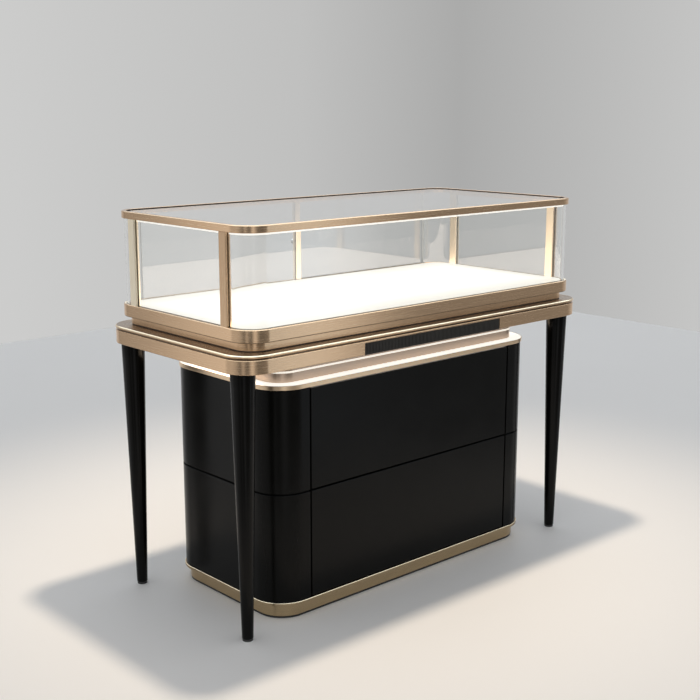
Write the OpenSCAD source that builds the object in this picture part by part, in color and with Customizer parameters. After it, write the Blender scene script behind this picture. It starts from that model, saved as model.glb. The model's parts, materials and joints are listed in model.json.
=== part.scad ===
// Jewellery showcase: a lit glass case on a legged table, over a two-drawer cabinet.
// The origin is the centre of the footprint on the floor.
// +X runs along the length, -Y faces the customer and the case opens at +Y.

/* [Case] */
// Length of the top frame
case_l = 1194; // [1080:2:1400]
// Depth of the top frame
case_d = 558; // [520:2:640]
// Plan radius of the top frame's corners
case_r = 64; // [50:1:80]
// Width of the top frame's rail
top_rail_w = 22; // [22:0.5:30]
// Height of the top frame's rail
top_rail_h = 18; // [18:0.5:26]
// Height of the glass that shows between the frames
window_h = 218; // [150:2:300]
// Thickness of the wall glass
glass_t = 6; // [5:0.5:7]
// Distance from the frame's outer face to the wall glass
glass_in = 6; // [4:0.5:7]
// Thickness of the flush top glass
top_glass_t = 8; // [5:0.5:8]
// Width of the rebate that carries the top glass
rebate_w = 10; // [6:0.5:12]
// Thickness of the glazing gaskets
gasket_t = 1; // [0.5:0.1:1.5]
// Depth of the glass groove in the top frame
top_groove_h = 6; // [4:0.5:6]
// Depth of the glass groove in the base frame
low_groove_h = 10; // [6:0.5:12]

/* [Posts] */
// Width of a post along the end of the case
post_w = 26; // [22:1:32]
// Depth of a post from the frame's outer face inwards
post_t = 18; // [17:0.5:22]
// Distance from the case's front or back to a post's centre
post_in = 88; // [80:1:130]
// Thickness of a post's web between its two grooves
post_web = 6; // [3:0.5:8]

/* [Rear doors] */
// Thickness of the door glass
door_glass_t = 5; // [4:0.5:5]
// Width of a door's meeting stile
stile_w = 18; // [16:1:32]
// Thickness of a stile's wall on each face of the glass
stile_wall = 1.2; // [0.8:0.1:1.2]
// How far the corner glass runs on past its bend
corner_return = 8; // [4:1:20]
// Thickness of the clear jamb strips
jamb_t = 4; // [3:0.5:6]
// Width of a track slot
slot_w = 6.5; // [6.2:0.1:6.7]
// Web between the two track slots
slot_web = 2; // [2:0.1:2.4]
// Outer walls of the track
track_wall = 1; // [0.8:0.1:1]
// Length of a door shoe
shoe_l = 40; // [20:1:80]
// Radius of the lock's body
lock_r = 8; // [7:0.5:9]
// Length of the lock's body behind the stile
lock_l = 12; // [10:0.5:15]

/* [Case lighting] */
// Height of the light bars under the top frame
bar_h = 4; // [3:0.5:8]
// Width of the light bars
bar_w = 5.6; // [4:0.1:5.8]
// Wall of the metal light channel
channel_wall = 1; // [0.8:0.1:1.2]

/* [Base frame and deck] */
// How far the base frame stands out past the top frame
base_out = 2; // [0:0.5:5]
// Height of the base frame
base_h = 32; // [28:1:45]
// Thickness of the luminous deck
deck_t = 6; // [4:0.5:8]
// Width of the lip between the wall glass groove and the deck
deck_lip = 2; // [1.5:0.5:5]
// Width of the base frame's body, from the top frame's outline inwards
base_w = 32; // [28:1:40]
// Thickness of the light board under the deck
board_t = 3; // [2:0.5:4]
// Thickness of the case floor
floor_t = 12; // [9:0.5:15]
// How far the riser is set in from the top frame's outline
riser_in = 16; // [10:1:22]
// Height of the riser band
riser_h = 23; // [16:1:40]
// Width of the riser's wall
riser_w = 28; // [22:1:40]

/* [Table] */
// Length of the table plate
table_l = 1244; // [1240:2:1460]
// Depth of the table plate
table_d = 590; // [586:2:680]
// Plan radius of the table plate's corners
table_r = 74; // [72:1:90]
// Thickness of the table plate
plate_t = 7.5; // [6:0.5:12]
// Height of the shadow groove under the plate
spacer_h = 4; // [3:0.5:8]
// How far the shadow groove is cut in
spacer_in = 3.5; // [2.5:0.5:5]
// Width of the spacer ring
spacer_w = 42; // [36:1:60]
// Height of the apron
apron_h = 34; // [32:1:50]
// How far the apron is set in from the plate's lip
apron_in = 1; // [0.5:0.5:2]
// Wall of the apron
apron_wall = 4; // [3.5:0.5:6]
// Thickness of the apron's top flange
flange_t = 3; // [2:0.5:4]
// Length of the black strip in the apron
strip_l = 500; // [300:5:700]
// Height of the black strip
strip_h = 29.5; // [16:0.5:30]
// Thickness of the black strip
strip_t = 2.2; // [1.6:0.1:2.4]
// Pitch of the strip's ribs
rib_pitch = 5; // [4:1:10]
// Width of the steel tubes inside the apron
tube_w = 40; // [30:1:44]
// Wall of the steel tubes
tube_wall = 2; // [1.5:0.5:4]
// Thickness of the underside panel
under_t = 3; // [2:0.5:4]

/* [Legs] */
// Distance from the table's end to the leg's axis
leg_in_x = 45; // [42:1:60]
// Distance from the table's front or back to the leg's axis
leg_in_y = 62; // [46:1:70]
// Radius of a leg at the top
leg_r_top = 30; // [22:0.5:31]
// Radius of a leg at the foot
leg_r_foot = 14; // [9:0.5:18]
// Height of the glide under a leg
glide_h = 6; // [3:0.5:12]
// Radius of a leg's stud
stud_r = 6; // [4:0.5:8]
// Depth of the stud in the leg
stud_in = 40; // [20:1:60]
// Side of the threaded corner block
block_w = 50; // [40:1:50]

/* [Cabinet] */
// Length of the cabinet's cap
cap_l = 962; // [900:2:1040]
// Depth of the cabinet's cap
cap_d = 458; // [440:2:500]
// Plan radius of the cap's corners
cap_r = 88; // [60:1:90]
// Height of the cap band
cap_h = 11; // [9:0.5:20]
// How far the black body is set in from the cap
body_in = 3; // [1:0.5:6]
// Height of the black body
body_h = 545.5; // [480:0.5:640]
// Thickness of the curved end shells
shell_t = 15; // [12:0.5:20]
// Width of the horizontal groove and the gaps round the drawer fronts
reveal = 5; // [3:0.5:8]
// Depth of the horizontal groove
reveal_d = 6; // [3:0.5:8]
// Height of the groove's centre above the foot of the body
reveal_z = 282; // [240:1:300]
// Height of the ledge plate
ledge_h = 8; // [5:0.5:15]
// Height of the plinth
plinth_h = 38; // [25:1:80]
// How far the plinth is set in from the ledge
plinth_in = 14; // [6:1:30]
// Wall of the plinth
plinth_wall = 18; // [12:1:25]
// Distance of the neck's faces inside the cap's edge
neck_in = 35; // [25:1:50]
// Wall of the neck
neck_wall = 12; // [8:1:12]
// Height of the neck that stands above the cap
neck_h = 61; // [50:1:100]
// Thickness of the opal cap surface
halo_t = 5; // [3:0.5:6]
// Rim of the cap band beside the opal surface
halo_rim = 1.5; // [1:0.1:3]

/* [Drawers] */
// Distance between the centres of the two vertical front gaps
front_w = 736; // [600:2:750]
// Thickness of a drawer front
front_t = 20; // [16:1:25]
// Free depth behind a drawer front for the push-to-open stroke
push_gap = 3; // [2.8:0.1:5]
// Gap over the upper front and under the lower front
end_gap = 3; // [2:0.5:5]
// Thickness of the carcass boards
board_w = 18; // [15:1:20]
// Thickness of the back panel
back_t = 12; // [9:1:18]
// Thickness of a drawer's sides
side_t = 14; // [10:1:18]
// Thickness of a drawer's bottom
bottom_t = 8; // [5:0.5:10]
// Height of a drawer's bottom above the sides' lower edge
bottom_up = 10; // [4:1:16]
// Free height under a drawer box
box_under = 14; // [6:1:20]
// Free height over a drawer box
box_over = 18; // [8:1:40]
// Free depth behind a drawer box
box_behind = 18; // [12:1:60]
// Thickness of a whole runner
runner_t = 12.7; // [12:0.1:14]
// Height of a runner
runner_h = 45; // [35:1:50]
// Length of a runner
runner_l = 396; // [300:1:396]
// Wall of the runner sections
runner_wall = 1.5; // [1:0.1:1.5]
// Height of a runner's centre above the box's lower edge
runner_up = 60; // [40:1:90]

/* [Electrics] */
// Length of the lighting driver
driver_l = 180; // [120:5:260]
// Width of the lighting driver
driver_w = 56; // [40:1:60]
// Height of the lighting driver
driver_h = 30; // [20:1:34]
// Bore radius of the cable gland
gland_bore_r = 4; // [3:0.5:5]
// Radius of the gland's threaded barrel
gland_r = 8; // [7:0.5:9]
// Length of the rocker switch's flange
switch_l = 21; // [20:0.5:24]
// Height of the rocker switch's flange
switch_h = 15; // [14:0.5:16]

/* [Hidden] */
$fn = 96;

// Clearances, and how far a cut runs past the face it opens
fit = 0.3;
run_fit = 0.05;
board_joint = 0.1;
bar_gap = 1;
tape_edge = 1;
door_lift = 1;
lead_play = 1;
over = 1;

// Colours
champagne = [0.72, 0.58, 0.44];
black = [0.07, 0.07, 0.07];
clear_glass = [0.85, 0.92, 0.9, 0.3];
glow = [1, 0.97, 0.88];
steel = [0.62, 0.63, 0.65];

// Heights, from the floor up
z_ledge = plinth_h;
z_body = z_ledge + ledge_h;
z_cap = z_body + body_h;
z_halo = z_cap + cap_h;
z_apron = z_halo + neck_h;
z_spacer = z_apron + apron_h;
z_plate = z_spacer + spacer_h;
z_riser = z_plate + plate_t;
z_base = z_riser + riser_h;
z_deck = z_base + base_h;
z_rail = z_deck + window_h;
z_top = z_rail + top_rail_h;

// Case glazing, as distances in from the top frame's outline
post_y = case_d / 2 - post_in;
groove_in = glass_in - gasket_t;
groove_out = glass_in + glass_t + gasket_t;
glass_z0 = z_deck - low_groove_h + 2 * gasket_t;
glass_z1 = z_rail + top_groove_h - 2 * gasket_t;
rebate_in = top_rail_w - rebate_w;
post_groove = (post_w - post_web) / 2;
glass_end_gap = 2;

// Rear door opening
door_x = case_l / 2 - case_r - corner_return;
track_w = 2 * slot_w + slot_web + 2 * track_wall;
track_in = 3.5;
track_h = 8;
track_floor = 1.5;
low_track_h = 10;
outer_slot_in = track_in + track_wall + slot_w / 2;
inner_slot_in = outer_slot_in + slot_w + slot_web;
left_door_y = case_d / 2 - inner_slot_in;
right_door_y = case_d / 2 - outer_slot_in;
door_end = door_x - jamb_t - 2 * fit;
shoe_z0 = z_deck - low_track_h + track_floor + fit;
shoe_h = 4;
door_z0 = shoe_z0 + shoe_h;
door_z1 = z_rail + track_h - track_floor - door_lift;
stile_gap = 1;
lock_z = z_deck + window_h / 2;
lock_bore_r = 5;
lock_floor = 2;
key_w = 1.2;
key_l = 6;
key_d = 3;

// Deck
deck_in = groove_out + deck_lip;
deck_back_gap = 1.5;
deck_back_in = track_in + track_w + deck_back_gap;

// Table
leg_x = table_l / 2 - leg_in_x;
leg_y = table_d / 2 - leg_in_y;
z_under = z_apron + under_t;
z_tube = z_spacer - flange_t;
flange_lap = 8;
flange_w = leg_in_y - tube_w / 2 + flange_lap;
pocket_d = strip_t + fit;
stud_up = 25;
glide_pin_r = 5;
glide_pin_h = 12;

// Cabinet
neck_l = cap_l - 2 * neck_in;
neck_d = cap_d - 2 * neck_in;
neck_r = cap_r - neck_in;
body_l = cap_l - 2 * body_in;
body_d = cap_d - 2 * body_in;
body_r = cap_r - body_in;
z_reveal = z_body + reveal_z;
shell_x = front_w / 2 + reveal / 2;
front_x = front_w / 2 - reveal / 2;
front_y = body_d / 2;
carcass_y0 = front_t + push_gap - front_y;
carcass_y1 = front_y - back_t;
carcass_x = shell_x - board_w;
floor_z = z_body + board_w;
ceiling_z = z_cap - board_w;
divider_z0 = z_reveal - board_w / 2;
divider_z1 = z_reveal + board_w / 2;
band_low = cap_h - halo_t;
band_lap = 6;
foot_led_h = 2;
foot_led_w = 8;
foot_led_gap = 1;
line_h = 5;
line_d = 3;
line_up = 34;
line_z = z_cap + line_up + line_h / 2;

// Drawer boxes
box_x = carcass_x - runner_t;
box_y0 = front_t - front_y;
box_y1 = carcass_y1 - box_behind;
lower_box_z0 = floor_z + box_under;
lower_box_z1 = divider_z0 - box_over;
upper_box_z0 = divider_z1 + box_under;
upper_box_z1 = ceiling_z - box_over;
runner_y0 = carcass_y0 + push_gap;
runner_lap = 6;
runner_play = 0.4;

// Electrics
driver_back = 50;
driver_y = neck_d / 2 - neck_wall - driver_back;
driver_ear = 12;
ear_hole_r = 2;
lead_x = 60;
lead_r = 3;
cap_lead_r = 1.5;
gland_x = lead_x;
gland_up = 36;
gland_z = z_cap + gland_up;
gland_nut_r = 12;
gland_nut_h = 5;
gland_dome_r = 10.5;
gland_dome_h = 15;
gland_tail = 3;
switch_x = -420;
switch_z = z_apron + apron_h / 2;
switch_bezel_l = 2;
switch_bezel_h = 2.4;
switch_body_l = switch_l - switch_bezel_l;
switch_body_h = switch_h - switch_bezel_h;
switch_wall = 1;
switch_side = 0.7;
switch_depth = 17;
switch_cup = 14;
rocker_in = 7;
rocker_y = table_d / 2 - rocker_in;
rocker_pin_r = 1;
rocker_tilt = 8;
rocker_reach = 5;
rocker_back = 4;

// Shapes that repeat

// Rounded rectangle, set in by a distance
module plan(l, d, r, inset = 0) {
  pl = l - 2 * inset;
  pd = d - 2 * inset;
  pr = max(r - inset, 0.5);
  square([pl - 2 * pr, pd], center = true);
  square([pl, pd - 2 * pr], center = true);
  for (x = [-1, 1], y = [-1, 1])
    translate([x * (pl / 2 - pr), y * (pd / 2 - pr)]) circle(pr);
}

// Plate with a rounded-rectangle outline
module slab(l, d, r, inset, z0, z1) {
  translate([0, 0, z0]) linear_extrude(z1 - z0) plan(l, d, r, inset);
}

// Ring between two insets of one outline
module band(l, d, r, in0, in1, z0, z1) {
  translate([0, 0, z0]) linear_extrude(z1 - z0) difference() {
    plan(l, d, r, in0);
    plan(l, d, r, in1);
  }
}

// Section in the first argument's place, swept round a rounded rectangle
module sweep(l, d, r) {
  for (s = [0, 180]) rotate(s) {
    translate([r - l / 2, r - d / 2, 0]) rotate([90, 0, 90])
      linear_extrude(l - 2 * r) mirror([1, 0]) translate([r, 0]) children();
    translate([l / 2 - r, r - d / 2, 0]) rotate([90, 0, 180])
      linear_extrude(d - 2 * r) mirror([1, 0]) translate([r, 0]) children();
  }
  for (k = [0 : 3]) {
    sx = k == 0 || k == 3 ? 1 : -1;
    sy = k < 2 ? 1 : -1;
    translate([sx * (l / 2 - r), sy * (d / 2 - r), 0]) rotate(90 * k)
      rotate_extrude(angle = 90) translate([r, 0]) children();
  }
}

// Box between two corners
module block(a, b) {
  translate(a) cube(b - a);
}

// The same piece at the left and at the right
module both_ends() {
  for (s = [0, 1]) mirror([s, 0, 0]) children();
}

module at_legs() {
  for (x = [-1, 1], y = [-1, 1]) translate([x * leg_x, y * leg_y, 0]) children();
}

// Everything past the door opening's ends, at the back
module door_gap(z0, z1) {
  block([-door_x, 0, z0], [door_x, case_d, z1]);
}

// Case

module top_frame() color(champagne) difference() {
  band(case_l, case_d, case_r, 0, top_rail_w, z_rail, z_top);
  band(case_l, case_d, case_r, rebate_in, top_rail_w + over,
       z_top - top_glass_t - gasket_t, z_top + over);
  difference() {
    band(case_l, case_d, case_r, groove_in, groove_out, z_rail - over, z_rail + top_groove_h);
    door_gap(z_rail - 2 * over, z_top);
  }
  block([-door_x, case_d / 2 - track_in - track_w, z_rail - over],
        [door_x, case_d / 2 - track_in, z_rail + track_h]);
}

module top_glass() color(clear_glass)
  slab(case_l, case_d, case_r, rebate_in + fit, z_top - top_glass_t, z_top);

// Lining of a glass groove between two heights, with the glass taken out
module groove_lining(z0, z1) {
  difference() {
    band(case_l, case_d, case_r, groove_in, groove_out, z0, z1);
    band(case_l, case_d, case_r, glass_in, glass_in + glass_t, glass_z0, glass_z1);
    door_gap(z0 - over, z1 + over);
  }
}

module glazing_gaskets() color("white") {
  band(case_l, case_d, case_r, rebate_in + fit + tape_edge, top_rail_w - tape_edge,
       z_top - top_glass_t - gasket_t, z_top - top_glass_t);
  groove_lining(z_deck - low_groove_h, z_deck);
  groove_lining(z_rail, z_rail + top_groove_h);
}

module wall_ring() {
  band(case_l, case_d, case_r, glass_in, glass_in + glass_t, glass_z0, glass_z1);
}

// Where the wall glass ends inside a post's groove
glass_stop = post_y + post_web / 2 + glass_end_gap;
side_stop = post_y - post_web / 2 - glass_end_gap;

module front_glass() color(clear_glass) intersection() {
  wall_ring();
  block([-case_l, -case_d, glass_z0 - over], [case_l, -glass_stop, glass_z1 + over]);
}

module side_glasses() color(clear_glass) both_ends()
  block([case_l / 2 - glass_in - glass_t, -side_stop, glass_z0],
        [case_l / 2 - glass_in, side_stop, glass_z1]);

module rear_corner_glasses() color(clear_glass) both_ends() intersection() {
  wall_ring();
  block([door_x, glass_stop, glass_z0 - over], [case_l, case_d, glass_z1 + over]);
}

// H-section post at the right-hand end, grooved for the glass on both sides
module post(y) {
  difference() {
    block([case_l / 2 - post_t, y - post_w / 2, z_deck], [case_l / 2, y + post_w / 2, z_rail]);
    for (s = [-1, 1]) translate([0, y + s * (post_w / 2 - post_groove / 2 + over / 2), 0])
      block([case_l / 2 - groove_out, -post_groove / 2 - over / 2, z_deck - over],
            [case_l / 2 - groove_in, post_groove / 2 + over / 2, z_rail + over]);
  }
}

module front_posts() color(champagne) both_ends() post(-post_y);

module rear_posts() color(champagne) both_ends() post(post_y);

module door_jambs() color(clear_glass) both_ends()
  block([door_x - jamb_t, case_d / 2 - track_in - track_w, z_deck],
        [door_x, case_d / 2 - track_in, z_rail]);

// The two slots of a track, cut between two heights
module slots(z0, z1) {
  for (y = [left_door_y, right_door_y])
    block([-case_l, y - slot_w / 2, z0], [case_l, y + slot_w / 2, z1]);
}

module door_tracks() color(champagne) {
  difference() {
    block([fit - door_x, case_d / 2 - track_in - track_w, z_deck - low_track_h],
          [door_x - fit, case_d / 2 - track_in, z_deck]);
    slots(z_deck - low_track_h + track_floor, z_deck + over);
  }
  difference() {
    block([fit - door_x, case_d / 2 - track_in - track_w, z_rail],
          [door_x - fit, case_d / 2 - track_in, z_rail + track_h]);
    slots(z_rail - over, z_rail + track_h - track_floor);
  }
}

// Light bars and their channels run under the rail, between the posts
bar_in = groove_out + bar_gap;
channel_in = bar_in + bar_w + fit;

module bar_stretch(in0, in1, z0, z1) {
  intersection() {
    band(case_l, case_d, case_r, in0, in1, z0, z1);
    union() {
      block([-case_l, -case_d, z0 - over], [case_l, -post_y - post_w / 2 - fit, z1 + over]);
      both_ends() block([0, -post_y + post_w / 2 + fit, z0 - over],
                        [case_l, post_y - post_w / 2 - fit, z1 + over]);
    }
  }
}

module led_channels() color(champagne) {
  bar_stretch(bar_in, channel_in + channel_wall, z_rail - channel_wall, z_rail);
  bar_stretch(channel_in, channel_in + channel_wall, z_rail - bar_h - channel_wall,
              z_rail - channel_wall);
}

module led_bars() color(glow)
  bar_stretch(bar_in, bar_in + bar_w, z_rail - bar_h - channel_wall, z_rail - channel_wall);

// Base of the case

// Outline of the deck, grown by a clearance
module deck_plan(grow) {
  y0 = deck_in - case_d / 2 - grow;
  y1 = case_d / 2 - deck_back_in + grow;
  translate([0, (y0 + y1) / 2])
    plan(case_l - 2 * deck_in + 2 * grow, y1 - y0, case_r - deck_in + grow);
}

module display_deck() color(glow)
  translate([0, 0, z_deck - deck_t]) linear_extrude(deck_t) deck_plan(-fit);

module light_board() color("white")
  slab(case_l, case_d, case_r, base_w + 2 * fit, z_base + floor_t, z_base + floor_t + board_t);

module case_floor() color("lightgray") difference() {
  slab(case_l, case_d, case_r, base_w + fit, z_base, z_base + floor_t);
  lead_hole(z_base, z_base + floor_t);
}

module base_frame() color(champagne) difference() {
  band(case_l, case_d, case_r, -base_out, base_w, z_base, z_deck);
  translate([0, 0, z_deck - deck_t]) linear_extrude(deck_t + over) deck_plan(0);
  difference() {
    band(case_l, case_d, case_r, groove_in, groove_out, z_deck - low_groove_h, z_deck + over);
    door_gap(z_base, z_top);
  }
  block([-door_x, case_d / 2 - track_in - track_w, z_deck - low_track_h],
        [door_x, case_d / 2 - track_in, z_deck + over]);
}

module case_riser() color(champagne)
  band(case_l, case_d, case_r, riser_in, riser_in + riser_w, z_riser, z_base);

// Table

module table_plate() color(champagne) difference() {
  union() {
    slab(table_l, table_d, table_r, plate_t, z_plate, z_riser);
    translate([0, 0, z_plate]) sweep(table_l, table_d, table_r) {
      union() {
        translate([-plate_t / 2, plate_t / 2]) circle(plate_t / 2);
        translate([-2 * plate_t, 0]) square([1.5 * plate_t, plate_t]);
      }
    }
  }
  lead_hole(z_plate, z_riser);
}

module table_spacer() color(champagne)
  band(table_l, table_d, table_r, spacer_in, spacer_in + spacer_w, z_spacer, z_plate);

module table_apron() color(champagne) difference() {
  union() {
    band(table_l, table_d, table_r, apron_in, apron_in + apron_wall, z_apron, z_spacer);
    band(table_l, table_d, table_r, apron_in, flange_w, z_tube, z_spacer);
  }
  block([-strip_l / 2 - fit, -table_d, z_apron - over],
        [strip_l / 2 + fit, apron_in + pocket_d - table_d / 2, z_apron + strip_h + fit]);
  block([switch_x - switch_body_l / 2 - fit, 0, switch_z - switch_body_h / 2 - fit],
        [switch_x + switch_body_l / 2 + fit, table_d, switch_z + switch_body_h / 2 + fit]);
}

// Comb outline of the strip: a flat back with square ribs along the front
ribs = floor(strip_l / rib_pitch);
rib_w = strip_l / ribs;
rib_d = strip_t / 2;

module apron_strip() color(black)
  translate([-strip_l / 2, apron_in + pocket_d - table_d / 2, z_apron]) linear_extrude(strip_h)
    polygon(concat(
      [[strip_l, 0], [0, 0]],
      [for (k = [0 : ribs - 1], c = [[0, strip_t], [0.6, strip_t], [0.6, rib_d], [1, rib_d]])
        [(k + c[0]) * rib_w, -c[1]]]
    ));

module tube(a, b, along_x) {
  difference() {
    block(a, b);
    if (along_x)
      block([a[0] - over, a[1] + tube_wall, a[2] + tube_wall],
            [b[0] + over, b[1] - tube_wall, b[2] - tube_wall]);
    else
      block([a[0] + tube_wall, a[1] - over, a[2] + tube_wall],
            [b[0] - tube_wall, b[1] + over, b[2] - tube_wall]);
  }
}

module subframe_rails() color(steel) for (s = [-1, 1]) {
  tube([block_w / 2 - leg_x, s * leg_y - tube_w / 2, z_under],
       [leg_x - block_w / 2, s * leg_y + tube_w / 2, z_tube], true);
  tube([s * leg_x - tube_w / 2, block_w / 2 - leg_y, z_under],
       [s * leg_x + tube_w / 2, leg_y - block_w / 2, z_tube], false);
}

module leg_blocks() color(steel) at_legs() difference() {
  block([-block_w / 2, -block_w / 2, z_under], [block_w / 2, block_w / 2, z_tube]);
  translate([0, 0, z_apron]) cylinder(h = apron_h, r = stud_r + run_fit);
}

module underside_panel() color("black") difference() {
  slab(table_l, table_d, table_r, apron_in + apron_wall + fit, z_apron, z_under);
  at_legs() translate([0, 0, z_apron - over]) cylinder(h = under_t + 2 * over, r = stud_r + fit);
  lead_hole(z_apron, z_under);
}

// Tapered leg, bored at the top for its stud and at the foot for its glide
module leg() {
  difference() {
    translate([0, 0, glide_h])
      cylinder(h = z_apron - glide_h, r1 = leg_r_foot, r2 = leg_r_top);
    translate([0, 0, z_apron - stud_in]) cylinder(h = stud_in + over, r = stud_r + run_fit);
    translate([0, 0, glide_h - over])
      cylinder(h = glide_pin_h + 2 * over, r = glide_pin_r + run_fit);
  }
}

module front_legs() color(black)
  for (x = [-1, 1]) translate([x * leg_x, -leg_y, 0]) leg();

module rear_legs() color(black)
  for (x = [-1, 1]) translate([x * leg_x, leg_y, 0]) leg();

module leg_studs() color(steel) at_legs()
  translate([0, 0, z_apron - stud_in]) cylinder(h = stud_in + stud_up, r = stud_r);

module leg_glides() color(black) at_legs() {
  cylinder(h = glide_h, r = leg_r_foot - 1);
  cylinder(h = glide_h + glide_pin_h, r = glide_pin_r);
}

// Cabinet

// The front of the neck and its ends, up to the rear corners
module before_rear_corners() {
  intersection() {
    children();
    block([-neck_l, -neck_d, z_cap], [neck_l, neck_d / 2 - neck_r - board_joint, z_apron]);
  }
}

// Four boards and four curved corner pieces, with a groove for the light line
module neck() color(champagne) difference() {
  band(neck_l, neck_d, neck_r, 0, neck_wall, z_cap, z_apron);
  before_rear_corners()
    band(neck_l, neck_d, neck_r, -over, line_d, z_cap + line_up, z_cap + line_up + line_h);
  for (s = [-1, 1]) {
    translate([s * (neck_l / 2 - neck_r), 0, z_cap - over])
      block([-board_joint / 2, -neck_d, 0], [board_joint / 2, neck_d, neck_h + 2 * cap_h]);
    translate([0, s * (neck_d / 2 - neck_r), z_cap - over])
      block([-neck_l, -board_joint / 2, 0], [neck_l, board_joint / 2, neck_h + 2 * cap_h]);
  }
  translate([gland_x, 0, gland_z]) rotate([-90, 0, 0])
    cylinder(h = neck_d, r = gland_r + run_fit);
  translate([0, driver_y, cap_lead_z]) rotate([0, -90, 0])
    cylinder(h = neck_l, r = cap_lead_r + fit);
  translate([0, driver_y, line_z]) rotate([0, -90, 0])
    cylinder(h = neck_l, r = cap_lead_r + fit);
}

// One strip round the foot of the neck under the opal surface, and a light line in its face
module cabinet_light_strips() color(glow) {
  band(neck_l, neck_d, neck_r, -foot_led_gap - foot_led_w, -foot_led_gap,
       z_cap, z_cap + foot_led_h);
  before_rear_corners()
    band(neck_l, neck_d, neck_r, 0, line_d - run_fit, z_cap + line_up,
         z_cap + line_up + line_h - run_fit);
}

module cap_band() color(champagne) {
  band(cap_l, cap_d, cap_r, 0, band_lap, z_cap, z_cap + band_low);
  band(cap_l, cap_d, cap_r, 0, halo_rim, z_cap + band_low, z_halo);
}

module cap_diffuser() color(glow)
  translate([0, 0, z_cap + band_low]) linear_extrude(halo_t) difference() {
    plan(cap_l, cap_d, cap_r, halo_rim + fit);
    plan(neck_l, neck_d, neck_r, -fit);
  }

// Board across the whole cabinet, cut back behind the drawer fronts and the back panel
module full_shelf(z0, z1) {
  difference() {
    slab(body_l, body_d, body_r, shell_t, z0, z1);
    block([-shell_x, -body_d, z0 - over], [shell_x, carcass_y0, z1 + over]);
    block([-shell_x, carcass_y1, z0 - over], [shell_x, body_d, z1 + over]);
  }
}

module carcass_shelves() color("dimgray") {
  full_shelf(z_body, floor_z);
  block([-carcass_x, carcass_y0, divider_z0], [carcass_x, carcass_y1, divider_z1]);
  full_shelf(ceiling_z, z_cap);
}

module carcass_sides() color("dimgray") difference() {
  both_ends() block([carcass_x, carcass_y0, floor_z], [shell_x, carcass_y1, ceiling_z]);
  back_screws(screw_r + run_fit);
}

// Horizontal groove round the body
module reveal_cut() {
  band(body_l, body_d, body_r, -over, reveal_d, z_reveal - reveal / 2, z_reveal + reveal / 2);
}

module shell_right_shape() {
  difference() {
    band(body_l, body_d, body_r, 0, shell_t, z_body, z_cap);
    block([-body_l, -body_d, z_body - over], [shell_x, body_d, z_cap + over]);
    reveal_cut();
  }
}

module shell_left() color(black) mirror([1, 0, 0]) shell_right_shape();

module shell_right() color(black) shell_right_shape();

// Screws of the back panel, into the edges of the carcass sides
screw_r = 2;
screw_head_r = 4;
screw_head_h = 2.5;
screw_l = 30;
screw_rows = 4;
screw_edge = 40;

module back_screws(r) {
  both_ends() for (k = [0 : screw_rows - 1])
    translate([shell_x - board_w / 2, body_d / 2 - screw_l,
               z_body + screw_edge + k * (body_h - 2 * screw_edge) / (screw_rows - 1)])
      rotate([-90, 0, 0]) {
        cylinder(h = screw_l, r = r);
        translate([0, 0, screw_l - screw_head_h])
          cylinder(h = screw_head_h + over * (r > screw_r ? 1 : 0), r = screw_head_r + r - screw_r);
      }
}

module back_panel_screws() color(steel) back_screws(screw_r);

module back_panel() color(black) difference() {
  block([-shell_x + fit, carcass_y1, z_body], [shell_x - fit, body_d / 2, z_cap]);
  reveal_cut();
  back_screws(screw_r + run_fit);
}

module ledge_plate() color(champagne) slab(cap_l, cap_d, cap_r, 0, z_ledge, z_body);

module plinth() color(champagne)
  band(cap_l, cap_d, cap_r, plinth_in, plinth_in + plinth_wall, 0, z_ledge);

// Drawers

module drawer_front(z0, z1) {
  block([-front_x, -front_y, z0], [front_x, front_t - front_y, z1]);
}

// Five boards: two sides, a front, a back and a bottom
module drawer_box(z0, z1) {
  inner_x = box_x - side_t;
  both_ends() block([inner_x, box_y0, z0], [box_x, box_y1, z1]);
  block([-inner_x, box_y0, z0], [inner_x, box_y0 + side_t, z1]);
  block([-inner_x, box_y1 - side_t, z0], [inner_x, box_y1, z1]);
  block([-inner_x, box_y0 + side_t, z0 + bottom_up],
        [inner_x, box_y1 - side_t, z0 + bottom_up + bottom_t]);
}

// Channel section with its open side towards -X, from x0 to x1
module channel(x0, x1, z) {
  difference() {
    block([x0, runner_y0, z - runner_h / 2], [x1, runner_y0 + runner_l, z + runner_h / 2]);
    block([x0 - over, runner_y0 - over, z - runner_h / 2 + runner_wall],
          [x1 - runner_wall, runner_y0 + runner_l + over, z + runner_h / 2 - runner_wall]);
  }
}

module runner_cabinet_members() color(steel) both_ends() {
  for (z = [lower_box_z0 + runner_up, upper_box_z0 + runner_up])
    channel(carcass_x - runner_lap, carcass_x, z);
}

module drawer_members(z) {
  both_ends() translate([2 * box_x, 0, 0]) mirror([1, 0, 0])
    channel(box_x - runner_lap, box_x, z);
}

// H-section bar that runs between the two channels
module runner_mids(z) {
  half_h = runner_h / 2 - runner_wall - runner_play;
  x0 = box_x + runner_wall + runner_play;
  x1 = carcass_x - runner_wall - runner_play;
  groove_d = (x1 - x0) / 3;
  both_ends() difference() {
    block([x0, runner_y0, z - half_h], [x1, runner_y0 + runner_l, z + half_h]);
    block([x0 - over, runner_y0 - over, z - half_h / 2],
          [x0 + groove_d, runner_y0 + runner_l + over, z + half_h / 2]);
    block([x1 - groove_d, runner_y0 - over, z - half_h / 2],
          [x1 + over, runner_y0 + runner_l + over, z + half_h / 2]);
  }
}

module upper_drawer_front() color(black)
  drawer_front(z_reveal + reveal / 2, z_cap - end_gap);

module upper_drawer_box() color("gray") drawer_box(upper_box_z0, upper_box_z1);

module upper_drawer_members() color(steel) drawer_members(upper_box_z0 + runner_up);

module upper_runner_mids() color(steel) runner_mids(upper_box_z0 + runner_up);

module lower_drawer_front() color(black)
  drawer_front(z_body + end_gap, z_reveal - reveal / 2);

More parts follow.
